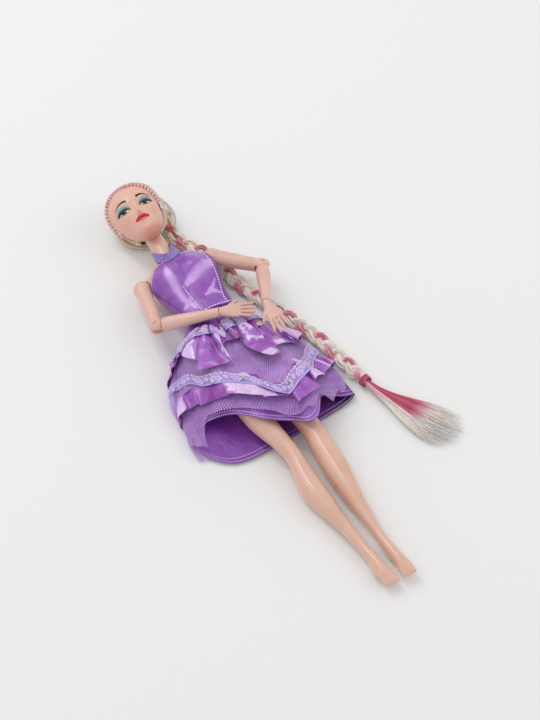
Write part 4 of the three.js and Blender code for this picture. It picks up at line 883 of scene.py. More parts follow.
def cloth_piece(name, columns, rows, place, finish, marks, thick, replaced, closed=False, flip=False):
    """A sheet over (u, v) with the marks that its finish reads, in millimetres or shares."""
    bm = bmesh.new()
    corner = np.zeros(1)
    layers = {key: bm.verts.layers.float.new(key) for key in marks(corner, corner)}
    made = bmesh.ops.create_grid(bm, x_segments=columns, y_segments=rows, size=0.5)["verts"]
    share = np.array([v.co[:2] for v in made]) + 0.5
    points = place(share[:, 0], share[:, 1])
    values = {key: value + 0 * share[:, 0] for key, value in marks(share[:, 0], share[:, 1]).items()}
    for index, v in enumerate(made):
        v.co = points[index] * MM
        for key, layer in layers.items():
            v[layer] = float(values[key][index])
    if closed:
        bmesh.ops.remove_doubles(bm, verts=bm.verts, dist=2e-6)
    if flip:
        bmesh.ops.reverse_faces(bm, faces=bm.faces)
    piece = new_piece(name, bm, finish)
    if thick:
        solid = piece.modifiers.new("wall", "SOLIDIFY")
        solid.thickness, solid.offset = thick * MM, 0
        applied(piece)
    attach(piece, "torso")
    if replaced:
        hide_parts(*replaced)
    return piece


# Bodice: a front from side seam to side seam, two backs, the closing strip and the halter straps
bodice_foot, bodice_height = 4.4 + seat, 40.5
# The bodice tucks this far under the skirt's waist
bodice_tuck = 3.4
# Millimetres that a degree takes on the bodice
per_degree, per_degree_front = 0.24, 0.28
bodice_top = table([
    [-180, 0.47], [-140, 0.49], [-104, 0.53], [-87, 0.62], [-73, 0.70], [-59.5, 0.756],
    [-43.5, 0.842], [-30, 0.941], [-8, 0.996], [12, 1.00], [42.5, 0.990], [52, 0.93],
    [66.5, 0.84], [78, 0.74], [92, 0.60], [112, 0.51], [180, 0.47]])
# The stitched side seam and the dart: level above the floor of the seat, degrees
seam_read = table([[30, 60], [36, 62.5], [44.7, 67], [53.7, 66.5], [60.5, 61], [65.8, 49], [72, 37]])
dart_read = table([[30, -13.3], [33, -13.6], [41, -16], [49, -16.5], [60, -16]])
# Painted highlights: broad pale streaks of light on the satin: degrees, level, half width
highlight_streaks = [
    [(-19, 65, 0.9), (-26, 60, 2.4), (-31, 52, 3.8), (-34, 44, 4.0), (-22, 36, 2.2)],
    [(60, 60, 4.0), (36, 57, 4.6), (10, 53.5, 4.2), (-8, 51, 2.2)],
    [(-52, 39, 0.9), (-34, 40, 2.4), (-20, 42, 2.0)],
    [(14, 40, 0.9), (40, 42, 2.6), (60, 39, 1.1)],
    [(30, 42, 1.8), (46, 44.5, 1.7), (58, 49, 0.8)]]


def bodice_share(degrees):
    """Height of the top edge at a turn, as a share of the bodice's height."""
    return bodice_top(degrees)[0]


def streak(degrees, level):
    """1 in the middle of a painted highlight streak, fading to its sides, and weak beside the dart."""
    best = 0
    for rows in highlight_streaks:
        for (d0, l0, w0), (d1, l1, w1) in zip(rows, rows[1:]):
            run, rise = (d1 - d0) * per_degree_front, l1 - l0
            across, up = (degrees - d0) * per_degree_front, level - l0
            t = np.clip((across * run + up * rise) / (run * run + rise * rise), 0, 1)
            far = np.hypot(across - t * run, up - t * rise) / (w0 + t * (w1 - w0))
            best = np.maximum(best, np.exp(-(far / 0.92) ** 2))
    from_dart = np.abs(degrees - dart_read(level)[0]) * per_degree_front
    return best * (1 - 0.8 * ease(-0.4, 0.4, 0.5 - from_dart) * (level < 50))


def bodice_bulge(degrees, share):
    """Lifts of the satin over the body: creases, and the room it leaves at the armhole and the side."""
    crease = np.sin(np.radians(degrees * 5 + share * 300)) * np.exp(-((share - 0.06) / 0.12) ** 2)
    across = np.sin(np.radians(degrees * 2.2 - share * 420 + 40)) * np.exp(-((share - 0.52) / 0.3) ** 2)
    armhole = 0.9 * np.exp(-((degrees + 66) / 20) ** 2) * ease(0.1, 0.5, share)
    side = 2.7 * np.exp(-((degrees - 88) / 30) ** 2) * ease(0.95, 0.7, share)
    return 0.32 + 0.28 * crease + 0.16 * across + armhole + side


def bodice_panel(name, first, last, columns, node):
    """A panel between two turns, from under the waist to the top edge."""
    def spots(u, v):
        degrees = first + (last - first) * u
        top = bodice_share(degrees)
        return degrees, top, bodice_foot - bodice_tuck + v * (top * bodice_height + bodice_tuck)

    def place(u, v):
        degrees, top, level = spots(u, v)
        turn = np.radians(degrees)
        point = torso_surface(turn, level)
        normal = normals(torso_surface, turn, level, 0.04, 0.6)
        share = (level - bodice_foot) / bodice_height
        lift = 1.0 + bodice_bulge(degrees, share) * ease(0, 0.08, top - share) * 1.2
        return point + normal * lift[:, None]

    def marks(u, v):
        degrees, top, level = spots(u, v)
        edge = bodice_foot + top * bodice_height - level
        dart = np.where(level < 52, (degrees - dart_read(level)[0]) * per_degree_front, 9.0)
        seam = (degrees - seam_read(level)[0]) * per_degree
        wave = np.sin(np.radians(degrees * 4 + level * 9)) * 0.5 + 0.5
        # Painted sheen: highlight streaks and a faint wave, darker beyond the side seam
        painted_sheen = 0.30 + 0.62 * streak(degrees, level) + 0.10 * wave - 0.34 * ease(0, 1.2, seam)
        return {"fold": np.clip(painted_sheen, 0, 1), "along": degrees * per_degree, "down": level,
                "edge": edge, "dart": dart, "seam": seam}
    cloth_piece(name, columns, 46, place, satin_bodice, marks, 0.45, [node], flip=True)


def color_of(finish):
    """The colour that the finish has so far."""
    return Value(finish, finish.shader.inputs["Base Color"].links[0].from_socket)


def stitched_bodice():
    """White stitches along the edges, the side seam and the dart, and painted shade of a groove beside the
    last two.
    """
    finish = satin_bodice
    color = color_of(finish)
    along, level = marked(finish, "along"), marked(finish, "down")
    edge, dart, seam = marked(finish, "edge"), marked(finish, "dart"), marked(finish, "seam")
    foot = level - (bodice_foot - bodice_tuck)
    rows = stitch_row(edge, along + level, 0.9, 1.9, 0.62, 0.3)
    for other in (stitch_row(seam, level, 0.0, 1.9, 0.66, 0.32),
                  stitch_row(dart, level, 0.0, 1.7, 0.7, 0.22),
                  stitch_row(foot, along, 1.2, 1.9, 0.62, 0.28)):
        rows = rows.highest(other)
    # Painted shade in the grooves beside the dart and the side seam
    groove_shade = abs(dart - 0.35).ease(0.55, 0.1).highest(abs(seam - 0.3).ease(0.6, 0.15))
    color = finish.mix(groove_shade * 0.55, color, (84, 24, 116))
    finish.set("Base Color", finish.mix(rows * 0.95, color, (248, 238, 252)))


stitched_bodice()
bodice_panel("bodice_front_cloth", -98, 98, 110, "bodice_front")
bodice_panel("bodice_back_cloth_right", -176.5, -99, 44, "bodice_back_right")
bodice_panel("bodice_back_cloth_left", 99, 176.5, 44, "bodice_back_left")

tape_finish = Finish("hook_tape", (158, 138, 190), 0.9, Sheen_Weight=0.3)
tape_finish.bump(tape_finish.speckle(1500, detail=4), 0.0004)
ribbon_finish = Finish("strap_ribbon", (126, 104, 178), 0.62, Sheen_Weight=0.3)
ribbon_cloud = ribbon_finish.speckle(260, detail=3).ease(0.3, 0.7)
ribbon_finish.set("Base Color", ribbon_finish.mix(ribbon_cloud, (118, 96, 172), (142, 118, 194)))
ribbon_finish.bump((marked(ribbon_finish, "along") * 7).sine(), 0.00005, 0.7)


def around_torso(degrees, level, lift):
    """Points over the torso at a turn and a level, lifted off it."""
    turn = np.radians(degrees)
    away = normals(torso_surface, turn, level, 0.04, 0.6) * np.asarray(lift)[..., None]
    return torso_surface(turn, level) + away


tape_wide, tape_long = 5, 15
cloth_piece("back_closure_cloth", 16, 16,
            lambda u, v: around_torso(171 + 18 * u, 35 + tape_long * v, 2.3 + 0 * u), tape_finish,
            lambda u, v: {"along": u * tape_wide, "down": v * tape_long}, 0.4,
            ["back_closure_strip"], flip=True)


def strap_piece(name, side, line, lift):
    """A halter strap over its rows of degrees, middle level and width."""
    reads = table([[k / (len(line) - 1), *row] for k, row in enumerate(line)])

    def place(u, v):
        degrees, middle, wide = reads(u)
        over = lift * (1 - ease(0.45, 0.7, u)) + 0.75
        return around_torso(degrees, middle + (v - 0.5) * wide, over)

    cloth_piece(name, 84, 12, place, ribbon_finish, lambda u, v: {"along": u * 40, "down": v * 6},
                0.35, [f"halter_strap_{side}"], flip=side == "left")


strap_piece("halter_ribbon_right", "right", [
    (22, 74.6, 5.0), (-6, 75.2, 5.6), (-35, 77.2, 5.8), (-62, 79.8, 5.6), (-92, 82.4, 5.4),
    (-132, 83.6, 5.2), (-176, 84.0, 5.2)], 0)
strap_piece("halter_ribbon_left", "left", [
    (-12, 72.4, 5.2), (8, 74.2, 6.0), (34, 78.2, 6.2), (62, 81.4, 5.8), (96, 83.2, 5.4),
    (140, 83.9, 5.2), (176, 84.0, 5.2)], 1.1)

# Skirt layers, with their hems as the photograph shows them: degrees from the middle of the front,
# share of the skirt's length
satin_upper_hem = table([
    [-180, 0.47], [-100, 0.46], [-70, 0.36], [-50, 0.29], [-44, 0.27], [-37, 0.42], [-30.5, 0.50],
    [-24.5, 0.545], [-16.2, 0.512], [-10.5, 0.475], [-6.5, 0.36], [-1, 0.35], [5.5, 0.365], [8.8, 0.445],
    [11.8, 0.52], [15.0, 0.575], [23.5, 0.535], [37.5, 0.475], [60, 0.45], [85, 0.43], [120, 0.46],
    [180, 0.47]])
satin_lower_hem = table([
    [-180, 0.84], [-110, 0.80], [-70, 0.80], [-50.3, 0.786], [-42.5, 0.792], [-33.8, 0.814], [-26.3, 0.804],
    [-19.0, 0.800], [-14.3, 0.822], [-8.0, 0.850], [0.5, 0.848], [7.5, 0.870], [11.6, 0.93], [13.6, 0.975],
    [17.5, 0.93], [20.8, 0.908], [36.0, 0.800], [49.2, 0.744], [90.5, 0.732], [130, 0.80], [180, 0.84]])
tulle_upper_hem = table([
    [-180, 0.60], [-104, 0.62], [-90, 0.74], [-76, 0.78], [-62, 0.66], [-52, 0.62], [-38, 0.60],
    [-20, 0.63], [-5, 0.68], [6, 0.74], [14, 0.74], [24, 0.68], [40, 0.60], [70, 0.58], [110, 0.60],
    [180, 0.60]])
tulle_lower_hem = table([
    [-180, 0.95], [-120, 0.97], [-100, 1.08], [-91, 1.17], [-83, 1.06], [-74, 1.14], [-64, 1.21],
    [-56, 1.10], [-46, 0.94], [-34, 0.93], [-20, 0.92], [-8, 0.94], [2, 0.985], [8, 1.0], [16, 0.97],
    [22, 0.99], [30, 0.91], [38, 0.965], [50, 0.90], [64, 0.92], [80, 0.86], [110, 0.92], [180, 0.95]])
lining_hem = table([
    [-180, 1.0], [-110, 1.0], [-80, 1.0], [-60, 0.985], [-45, 0.96], [-30, 0.97], [-10, 0.995],
    [4, 1.025], [13, 1.065], [20, 1.045], [27, 0.965], [33, 0.905], [44, 0.89], [60, 0.93], [80, 0.98],
    [100, 1.0], [180, 1.0]])
lace_lower_line = table([
    [-180, 0.60], [-80, 0.50], [-50, 0.50], [-42.5, 0.524], [-35, 0.604], [-26.3, 0.632], [-19, 0.644],
    [-11.5, 0.666], [-4.5, 0.702], [1.5, 0.768], [8, 0.806], [16, 0.780], [27, 0.714], [47.5, 0.606],
    [62, 0.56], [90, 0.54], [180, 0.60]])
lace_upper_line = table([
    [-180, 0.2], [-80, 0.22], [-46, 0.235], [-34, 0.21], [-20, 0.20], [-12, 0.22], [-7, 0.285],
    [-2, 0.215], [10, 0.20], [26, 0.205], [44, 0.215], [80, 0.22], [180, 0.2]])
# Sharp pleats from the waist: share of the skirt's length, degrees
waist_pleats = [table(rows) for rows in (
    [[0.0, -14], [0.08, -18], [0.20, -33], [0.26, -42.8], [0.34, -52]],
    [[0.0, -12], [0.126, -15.2], [0.232, -17.8], [0.344, -18.2], [0.42, -19]],
    [[0.0, 1], [0.156, -0.5], [0.26, -1.5], [0.352, -2.5], [0.42, -4]],
    [[0.0, 22], [0.18, 16], [0.31, 10.2], [0.43, 8.2], [0.50, 7]],
    [[0.0, 34], [0.20, 29.2], [0.304, 24.8], [0.398, 23], [0.48, 22]],
    [[0.0, 52], [0.20, 48], [0.40, 44], [0.50, 42]])]


def frontness(turn):
    """1 over the front, where the cloth stands free, and 0 behind, where the doll lies on it."""
    return ease(-0.15, 0.35, np.cos(turn))


def crease(turn, share, wide=0.75):
    """1 in the bottom of a sharp pleat from the waist, 0 beside it; it fades toward the hips."""
    degrees, girth = wrap(turn), np.maximum(skirt_read(share)[0], 14.0)
    near = np.min([np.abs(degrees - line(share)[0]) for line in waist_pleats], axis=0) * girth * 0.0175
    return np.exp(-(near / wide) ** 2) * ease(0.50, 0.34, share)


def pleats(turn, share, counts, start):
    """Crests and valleys of gathered cloth, from 0 to 1; they wander and part toward the hem."""
    degrees = np.degrees(turn)
    wander = 6 * np.sin(np.radians(degrees * 2.3 + start * 40))
    wander = wander + share * 26 * np.sin(np.radians(degrees * 1.7 + start * 75))
    total = 0
    for index, (count, size) in enumerate(counts):
        total = total + size * np.cos(np.radians(count * (degrees + wander) + start * 57 * (index + 1)))
    return 0.5 + 0.5 * np.tanh(0.95 * total)


class Layer:
    """One gathered layer of the skirt, from its seam to its hem, over the layers below."""

    def __init__(self, first, hem, under, flare, depth, counts, start, swing, stand, puffs=(), tone_shifts=()):
        self.first, self.hem, self.under, self.flare = first, hem, under, flare
        self.depth, self.counts, self.start, self.swing, self.stand = depth, counts, start, swing, stand
        self.puffs, self.tone_shifts = puffs, tone_shifts

    def local(self, turn, share):
        """0 at the layer's seam, 1 at its hem."""
        hem = self.hem(wrap(turn))[0]
        return np.clip((share - self.first) / np.maximum(hem - self.first, 0.02), 0, 1)

    def fold(self, turn, share):
        return pleats(turn, share, self.counts, self.start)

    def offset(self, turn, share):
        """How far the layer stands off the skirt's base form."""
        below = 0.12
        for layer in self.under:
            below = np.maximum(below, layer.offset(turn, share))
        local = self.local(turn, share)
        lift = self.flare * local + self.depth * self.fold(turn, share) * (0.12 + 0.88 * local ** 0.8)
        for degrees, level, wide, high, rise in self.puffs:
            lift = lift + rise * np.exp(-((wrap(turn) - degrees) / wide) ** 2 - ((share - level) / high) ** 2)
        return below + self.stand + frontness(turn) * lift

    def tone(self, turn, share):
        """The painted light on the fold, from 0 in painted shade to 1 in full painted light."""
        tone = self.fold(turn, share)
        # Spots where the painted light and shade take a given tone
        for degrees, level, wide, high, rise in self.tone_shifts:
            near = np.exp(-((wrap(turn) - degrees) / wide) ** 4 - ((share - level) / high) ** 4)
            tone = tone * (1 - near) + rise * near
        return np.clip(tone, 0, 1)


lining = Layer(0.0, lining_hem, [], 0.0, 1.3, [(6, 0.7), (13, 0.45)], 0.6, 0.0, 0.0)
# Puffs, and places of painted light and shade: degrees, share, reach across, reach down, and the rise or the
# painted tone there
petal_puffs = [(14, 0.49, 5.5, 0.035, 1.3), (27, 0.475, 5.0, 0.035, 1.3), (21, 0.425, 12, 0.014, -1.6),
               (-26, 0.40, 5.0, 0.05, 1.2), (-14, 0.42, 4.0, 0.06, 1.0), (-19.5, 0.42, 1.8, 0.09, -1.2)]
petal_light_spots = [(19, 0.47, 10, 0.055, 0.12), (22, 0.36, 7, 0.04, 0.42), (30, 0.50, 4, 0.05, 0.8),
               (-27, 0.43, 5, 0.08, 0.45), (-15, 0.44, 3.5, 0.05, 0.80), (21, 0.418, 3.5, 0.008, 0.95)]
tulle_upper = Layer(0.24, tulle_upper_hem, [lining], 0.8, 1.7, [(9, 0.8), (21, 0.6)], 1.7, 1.6, 0.5,
                    [(-80, 0.62, 11, 0.16, 4.5)])
satin_upper = Layer(0.20, satin_upper_hem, [tulle_upper], 1.0, 4.2, [(10, 0.8), (19, 0.75), (37, 0.4)],
                    0.9, 4.6, 0.4, petal_puffs, petal_light_spots)
tulle_lower = Layer(0.62, tulle_lower_hem, [lining], 0.9, 2.2, [(9, 0.8), (21, 0.65)], 2.4, 1.8, 0.5,
                    [(-90, 1.10, 10, 0.16, 7.0)])
satin_lower = Layer(0.60, satin_lower_hem, [tulle_lower], 0.9, 4.2, [(10, 0.8), (19, 0.75), (35, 0.4)],
                    3.3, 4.4, 0.4, [(12, 0.86, 4.5, 0.05, -1.4)], [(12, 0.88, 4.5, 0.07, 0.05)])


def outward(turn, share):
    """Direction away from the skirt's base form, softened over its steep places."""
    normal = -normals(skirt_base, turn, share, 0.07, 0.05)
    flat = (normal[..., 2] < -0.9) & (np.cos(turn) < -0.3)
    normal[flat] = (0, 0, -1)
    return normal


def on_skirt(turn, share, away):
    """Points over the skirt's base form, never below the floor."""
    away = np.maximum(np.asarray(away) - 0.9 * crease(turn, share), 0.12)
    point = skirt_base(turn, share) + outward(turn, share) * away[..., None]
    point[..., 2] = np.maximum(point[..., 2], 0.12)
    return point


def layer_piece(name, layer, columns, rows, finish, thick, node):
    """A layer as closed cloth all round the skirt; its folds lean to alternate sides at the front."""
    low, high = np.radians(-180), np.radians(180)

    def spots(u, v):
        turn = low + (high - low) * u
        hem = layer.hem(wrap(turn))[0]
        return turn, layer.first + v * (hem - layer.first)

    def place(u, v):
        turn, share = spots(u, v)
        sway = layer.swing * np.sin(np.radians(layer.counts[0][0] * 2 * np.degrees(turn) + layer.start * 90))
        moved = turn + np.radians(sway) * layer.local(turn, share) * frontness(turn)
        return on_skirt(moved, share, layer.offset(turn, share))

    def marks(u, v):
        turn, share = spots(u, v)
        hem = layer.hem(wrap(turn))[0]
        # Painted shade inside the lining on the right side, joined to the painted shade in the pleats
        inside = 0.9 * ease(62, 92, wrap(turn)) * ease(160, 130, wrap(turn))
        inside = inside * ease(0.55, 0.8, share) * (layer is lining)
        return {"fold": layer.tone(turn, share), "along": np.degrees(turn) * 0.95,
                "crease": np.maximum(crease(turn, share, 0.55), inside),
                "down": (share - layer.first) * skirt_length, "hem": (hem - share) * skirt_length}

    cloth_piece(name, columns, rows, place, finish, marks, thick, [node], True)


def hem_stitches(finish, thread):
    """Two rows of stitches along the hem."""
    color = color_of(finish)
    along, hem = marked(finish, "along"), marked(finish, "hem")
    rows = stitch_row(hem, along, 1.0, 1.5, 0.66, 0.2).highest(stitch_row(hem, along, 3.4, 1.5, 0.66, 0.2))
    finish.set("Base Color", finish.mix(rows * 0.85, color, thread))


hem_stitches(lining_finish, (226, 208, 240))
layer_piece("skirt_lining_cloth", lining, 420, 70, lining_finish, 0.3, "skirt_lining")
for tier, net_layer, net_look, satin_layer in (
        ("upper", tulle_upper, net_upper, satin_upper), ("lower", tulle_lower, net_lower, satin_lower)):
    layer_piece(f"tulle_ruffle_{tier}_net", net_layer, 360, 26, net_look, 0, f"tulle_ruffle_{tier}")
    layer_piece(f"satin_ruffle_{tier}_cloth", satin_layer, 420, 34, satin_lilac, 0.22,
                f"satin_ruffle_{tier}")


def clear_of(layers, turn, share):
    """Room that the layers below need here and a little to each side."""
    steps = np.radians([-4.5, -2.2, 0, 2.2, 4.5])
    return np.maximum.reduce([layer.offset(turn + step, share) for layer in layers for step in steps])


def lace_piece(name, line, height, under, finish, node):
    """A band of lace across the front, over the layers below it."""
    low, high = -math.radians(81), math.radians(81)
    half = height / skirt_length / 2

    def spots(u, v):
        turn = low + (high - low) * u
        return turn, line(wrap(turn))[0] + (v - 0.5) * 2 * half

    def place(u, v):
        turn, share = spots(u, v)
        return on_skirt(turn, share, clear_of(under, turn, share) + 0.45)

    def marks(u, v):
        turn, share = spots(u, v)
        girth = skirt_read(share)[0] * 1.05
        return {"along": turn * girth, "down": v * height, "crease": crease(turn, share, 0.55)}

    cloth_piece(name, 260, 14, place, finish, marks, 0, [node])


lace_piece("lace_trim_upper_band", lace_upper_line, 7.6, [satin_upper, lining], lace_upper_finish,
           "lace_trim_upper")
lace_piece("lace_trim_lower_band", lace_lower_line, 8.6, [tulle_upper, satin_lower], lace_lower_finish,
           "lace_trim_lower")


# Stones and the bead, on the cloth that carries them
def stone_finish(name, dark, light, tint):
    finish = Finish(name, light, 0.08, Metallic=0.35, Coat_Weight=1.0, Coat_Roughness=0.03)
    # Painted reflections: the facets take dark and light tones, with tinted spots
    facet_reflections = finish.mix(finish.speckle(1100, detail=0).ease(0.44, 0.56), dark, light)
    tints = finish.speckle(700, detail=0, rough=0.2).ease(0.55, 0.65)
    finish.set("Base Color", finish.mix(tints, facet_reflections, tint))
    return finish


clear_glass = stone_finish("rhinestone_glass", (78, 88, 94), (240, 246, 248), (168, 182, 186))
gold_glass = stone_finish("bead_glass", (132, 104, 62), (252, 244, 214), (226, 178, 96))


def stone(name, node, degrees, level, half, finish, under):
    """An eight-sided cut stone at a turn and a share of the skirt's length."""
    turn, share = np.radians([degrees]), np.array([level])
    centre = on_skirt(turn, share, clear_of(under, turn, share) + 0.8)[0]
    upright = Vector(outward(turn, share)[0]).to_track_quat("Z", "Y").to_matrix().to_4x4()
    bm = bmesh.new()
    for start, end, foot, top in ((-0.35, 0.15, 0.7, 1.0), (0.15, 0.75, 1.0, 0.55)):
        lift = Matrix.Translation((0, 0, (start + end) / 2 * half * MM))
        place = Matrix.Translation(Vector(centre) * MM) @ upright @ lift
        bmesh.ops.create_cone(bm, cap_ends=True, segments=8, radius1=foot * half * MM,
                              radius2=top * half * MM, depth=(end - start) * half * MM, matrix=place)
    piece = new_piece(name, bm, finish, smooth=False)
    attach(piece, "torso")
    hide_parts(node)


for number, (degrees, level) in enumerate(((45, 0.626), (14, 0.772), (-12, 0.674), (-28, 0.652)), 1):
    stone(f"rhinestone_cut_{number}", f"rhinestone_{number}", degrees, level, 1.6, clear_glass,
          [tulle_upper, satin_lower])
stone("bead_cut", "pearl_bead", 28, 0.32, 1.75, gold_glass, [satin_upper])


# Hair. Shade: 0 deep crimson, .15 crimson, .3 pink, .45 cream, .6 blonde, .75 tan, .9 brown, 1 grey
def hair_finish(name, roughness=0.34):
    finish = Finish(name, (226, 202, 168), roughness, Specular_IOR_Level=0.6, Sheen_Weight=0.15)
    stops = [(0.0, (160, 38, 74)), (0.15, (214, 66, 108)), (0.3, (240, 176, 190)), (0.45, (255, 251, 246)),
             (0.6, (246, 230, 206)), (0.75, (216, 188, 154)), (0.9, (160, 96, 62)), (1.0, (226, 226, 236))]
    streak = finish.node("ShaderNodeTexWhiteNoise", {"noise_dimensions": "1D"},
                         {"W": (marked(finish, "strand") + 0.5).whole()}, out=0)
    shade = marked(finish, "shade") + (streak - 0.5) * 0.05
    color = finish.node("ShaderNodeValToRGB", {"stops": stops}, [shade])
    tone_shifts = finish.speckle(300, detail=3).ease(0.3, 0.8) * 0.12
    finish.set("Base Color", finish.mix(tone_shifts, color, (160, 120, 100)))
    return finish.bump(finish.speckle(1800, detail=2), 0.00004)


hair_strands = hair_finish("hair_strands")
cap_finish = Finish("scalp_hair", (214, 186, 154), 0.5, Sheen_Weight=0.1)
cap_grain = cap_finish.join(marked(cap_finish, "along") * 0.5, marked(cap_finish, "down") * 9)
cap_lines = cap_finish.speckle(1, cap_grain, 4)
cap_finish.set("Base Color", cap_finish.mix(cap_lines.ease(0.3, 0.7), (192, 152, 120), (248, 234, 212)))
cap_finish.bump(cap_lines, 0.0006)

# Hairline: share of the head's height, degrees of bare skin from the middle to the right and to the left
hairline = table([
    [0.10, 138, 138], [0.17, 126, 118], [0.24, 119, 94], [0.36, 110, 68], [0.485, 101, 58], [0.60, 93, 51],
    [0.705, 84, 44], [0.795, 72, 36], [0.86, 58, 28], [0.895, 44, 18], [0.918, 24, 8],
    [0.935, 5, 1.5], [0.96, 0.2, 0.2]])
# The same line as degrees and shares, from the right ear over the top to the left ear
hairline_spots = np.array([
    [-112, 0.34], [-101, 0.485], [-93, 0.60], [-84, 0.705], [-72, 0.795], [-58, 0.86], [-44, 0.895],
    [-24, 0.918], [-5, 0.928], [9, 0.912], [18, 0.895], [28, 0.86], [36, 0.795], [44, 0.705], [51, 0.60],
    [58, 0.485], [66, 0.37]])


def on_head(degrees, share, away):
    """Points over the turned head at degrees from its front and shares of its height."""
    turn = np.radians(degrees)
    y = head_foot + np.asarray(share) * head_length
    lift = normals(head_surface, turn, y, 0.02, 0.1) * np.asarray(away)[..., None]
    return posed(head_surface(turn, y) + lift)


def head_spot(degrees, share, away):
    return on_head(np.array([degrees]), np.array([share]), np.array([away]))[0]


def cap_bulk(share, side_share):
    """How far the hair stands off the scalp."""
    low = ease(0.62, 0.3, share)
    return 0.35 + 1.3 * ease(0, 0.16, side_share) * (1 + 1.3 * low)


crown = posed(np.array([0.0, head_foot + 0.989 * head_length + 1.9, 19.7]))


def cap_place(u, v):
    """The hair on the scalp up to the crown, where its last rows draw together."""
    rise = np.minimum(v / 0.94, 1)
    share = 0.13 + 0.859 * (1 - (1 - rise) ** 2)
    right, left = hairline(share)
    degrees = -right - u * (360 - right - left)
    point = on_head(degrees, share, cap_bulk(share, np.minimum(u, 1 - u)))
    closing = 0.97 * np.clip((v - 0.94) / 0.06, 0, 1)[..., None]
    return point + (crown - point) * closing


cap = cloth_piece("hair_cap_base", 96, 60, cap_place, cap_finish,
                  lambda u, v: {"along": u * 40, "down": v * 20}, 0.4, ["hair_cap"], flip=True)
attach(cap, "head")

# Braid line from the nape to the tie, and the tail after it
braid_points = [
    [16.0, 108.5, 5.4], [14.4, 100.5, 4.5], [15.6, 93.5, 4.0], [19.6, 84.0, 3.6], [25.6, 70.7, 3.6],
    [29.6, 50.0, 3.6], [33.6, 35.2, 3.6], [38.6, 22.5, 3.6], [43.0, 10.0, 3.6], [47.8, -4.8, 3.6],
    [51.0, -18.8, 3.6], [53.8, -31.5, 3.6], [56.0, -45.0, 3.85]]
tail_points = [
    [56.0, -45.0, 3.85], [57.0, -49.0, 3.7], [59.4, -56.0, 3.0], [64.6, -68.0, 2.6], [72.0, -84.0, 2.3],
    [79.0, -96.0, 2.0], [85.0, -104.5, 1.7]]
nape_root = np.array([16.0, 94.0, 4.2])


def sweep(points, count, radius, shade, wobble=0.0):
    """One strand through its points, in one shade and finer toward its end."""
    line, _, at = curve_through(points, count)
    share = at / at[-1]
    phase = rng.random() * 6
    line = line + wobble * np.sin(share * 9 + phase)[:, None] * np.array([0.6, 0.4, 0.5])
    line[:, 2] = np.maximum(line[:, 2], radius + 0.05)
    return np.column_stack([line, radius * (1 - 0.5 * share ** 6), np.full(len(at), shade)])


def near_root(spread=1.9):
    """A random place in the root of the braid."""
    turn, far = rng.random() * 2 * math.pi, math.sqrt(rng.random()) * spread
    x, y = far * math.cos(turn), far * math.sin(turn)
    return nape_root + np.array([x, 0.4 * y, 0.9 * y])


def head_hair():
    """Rooted hair drawn back from the hairline, under the nape, to the root of the braid."""
    lines = []
    centre, radii = np.array([0.0, 112.4, 15.8]), np.array([15.2, 17.3, 15.6])
    gather = np.array([0.78, -0.32, -0.56])
    # From the hairline round the back of the head
    for _ in range(430):
        t = rng.random() * (len(hairline_spots) - 1)
        spot, following = hairline_spots[int(t)], hairline_spots[int(t) + 1]
        degrees, share = spot + (t % 1) * (following - spot)
        start = unposed(head_spot(degrees, share, 0.25))
        first = (start - centre) / radii
        first /= np.linalg.norm(first)
        behind = np.array([-0.1 if degrees < 0 else 0.5, 0.1 + 0.3 * rng.random(), -1.0])
        thick = 1.02 + 0.1 * rng.random()
        points = []
        for step in np.linspace(0, 1, 9):
            way = (1 - step) ** 2 * first + 2 * step * (1 - step) * behind * 1.1 + step ** 2 * gather
            way = way / np.linalg.norm(way)
            swell = thick + 0.10 * math.sin(math.pi * step)
            rest = (start - centre - radii * first * thick) * (1 - step) ** 3
            points.append(centre + radii * way * swell + rest)
        points = list(posed(np.array(points)))
        shade = 0.58 + 0.12 * rng.random() - (0.14 if rng.random() < 0.45 else 0)
        lines.append(sweep(points, 26, 0.17, shade))
    # A lock that runs under the nape from the right ear
    for _ in range(170):
        s = rng.random()
        lift = 3.2 * s
        points = [[-14.6 + 1.4 * s, 114.5 - 2 * s, 8.5 + lift], [-14.0 + s, 108.8 - s, 4.6 + lift],
                  [-11.0 + 0.6 * s, 103.4 - 0.6 * s, 3.0 + lift], [-4.0, 98.2 - 1.2 * s, 2.6 + lift * 0.9],
                  [6.0, 95.0 + 2.0 * s, 2.4 + lift], near_root()]
        lines.append(sweep(points, 22, 0.17, 0.62 + 0.16 * s + 0.06 * rng.random()))
    # The full lock behind the left ear
    for _ in range(330):
        s, out = rng.random(), rng.random()
        degrees, share = 62 + 26 * rng.random(), 0.28 + 0.3 * s
        start = head_spot(degrees, share, 0.6)
        bulge = np.array([16.6 + 6.0 * out, 107.5 + 2.5 * s, 9.0 - 4.5 * out + 2.5 * s])
        points = [start, (start + bulge) / 2 + np.array([0.8, 0.5, 0.8]), bulge,
                  [17.0 + 1.8 * out, 101.0 + 1.5 * s, 4.6 + 1.2 * s], near_root(2.4)]
        shade = 0.975 if out > 0.84 else (0.45 if out > 0.55 else 0.58 + 0.16 * rng.random())
        lines.append(sweep(points, 20, 0.2, shade, wobble=0.15))
    # Darker ends round the root of the braid
    for _ in range(70):
        points = [[9.5 + 2 * rng.random(), 104 + 3 * rng.random(), 7 + 3 * rng.random()],
                  [13.0 + rng.random(), 99.5 + rng.random(), 6 + rng.random()],
                  near_root(1.2) + np.array([0, -1, 1.0])]
        lines.append(sweep(points, 12, 0.17, rng.choice([0.05, 0.12, 0.86, 0.9])))
    return lines


hair_piece = tubes("rooted_hair", head_hair(), hair_strands)
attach(hair_piece, "head")


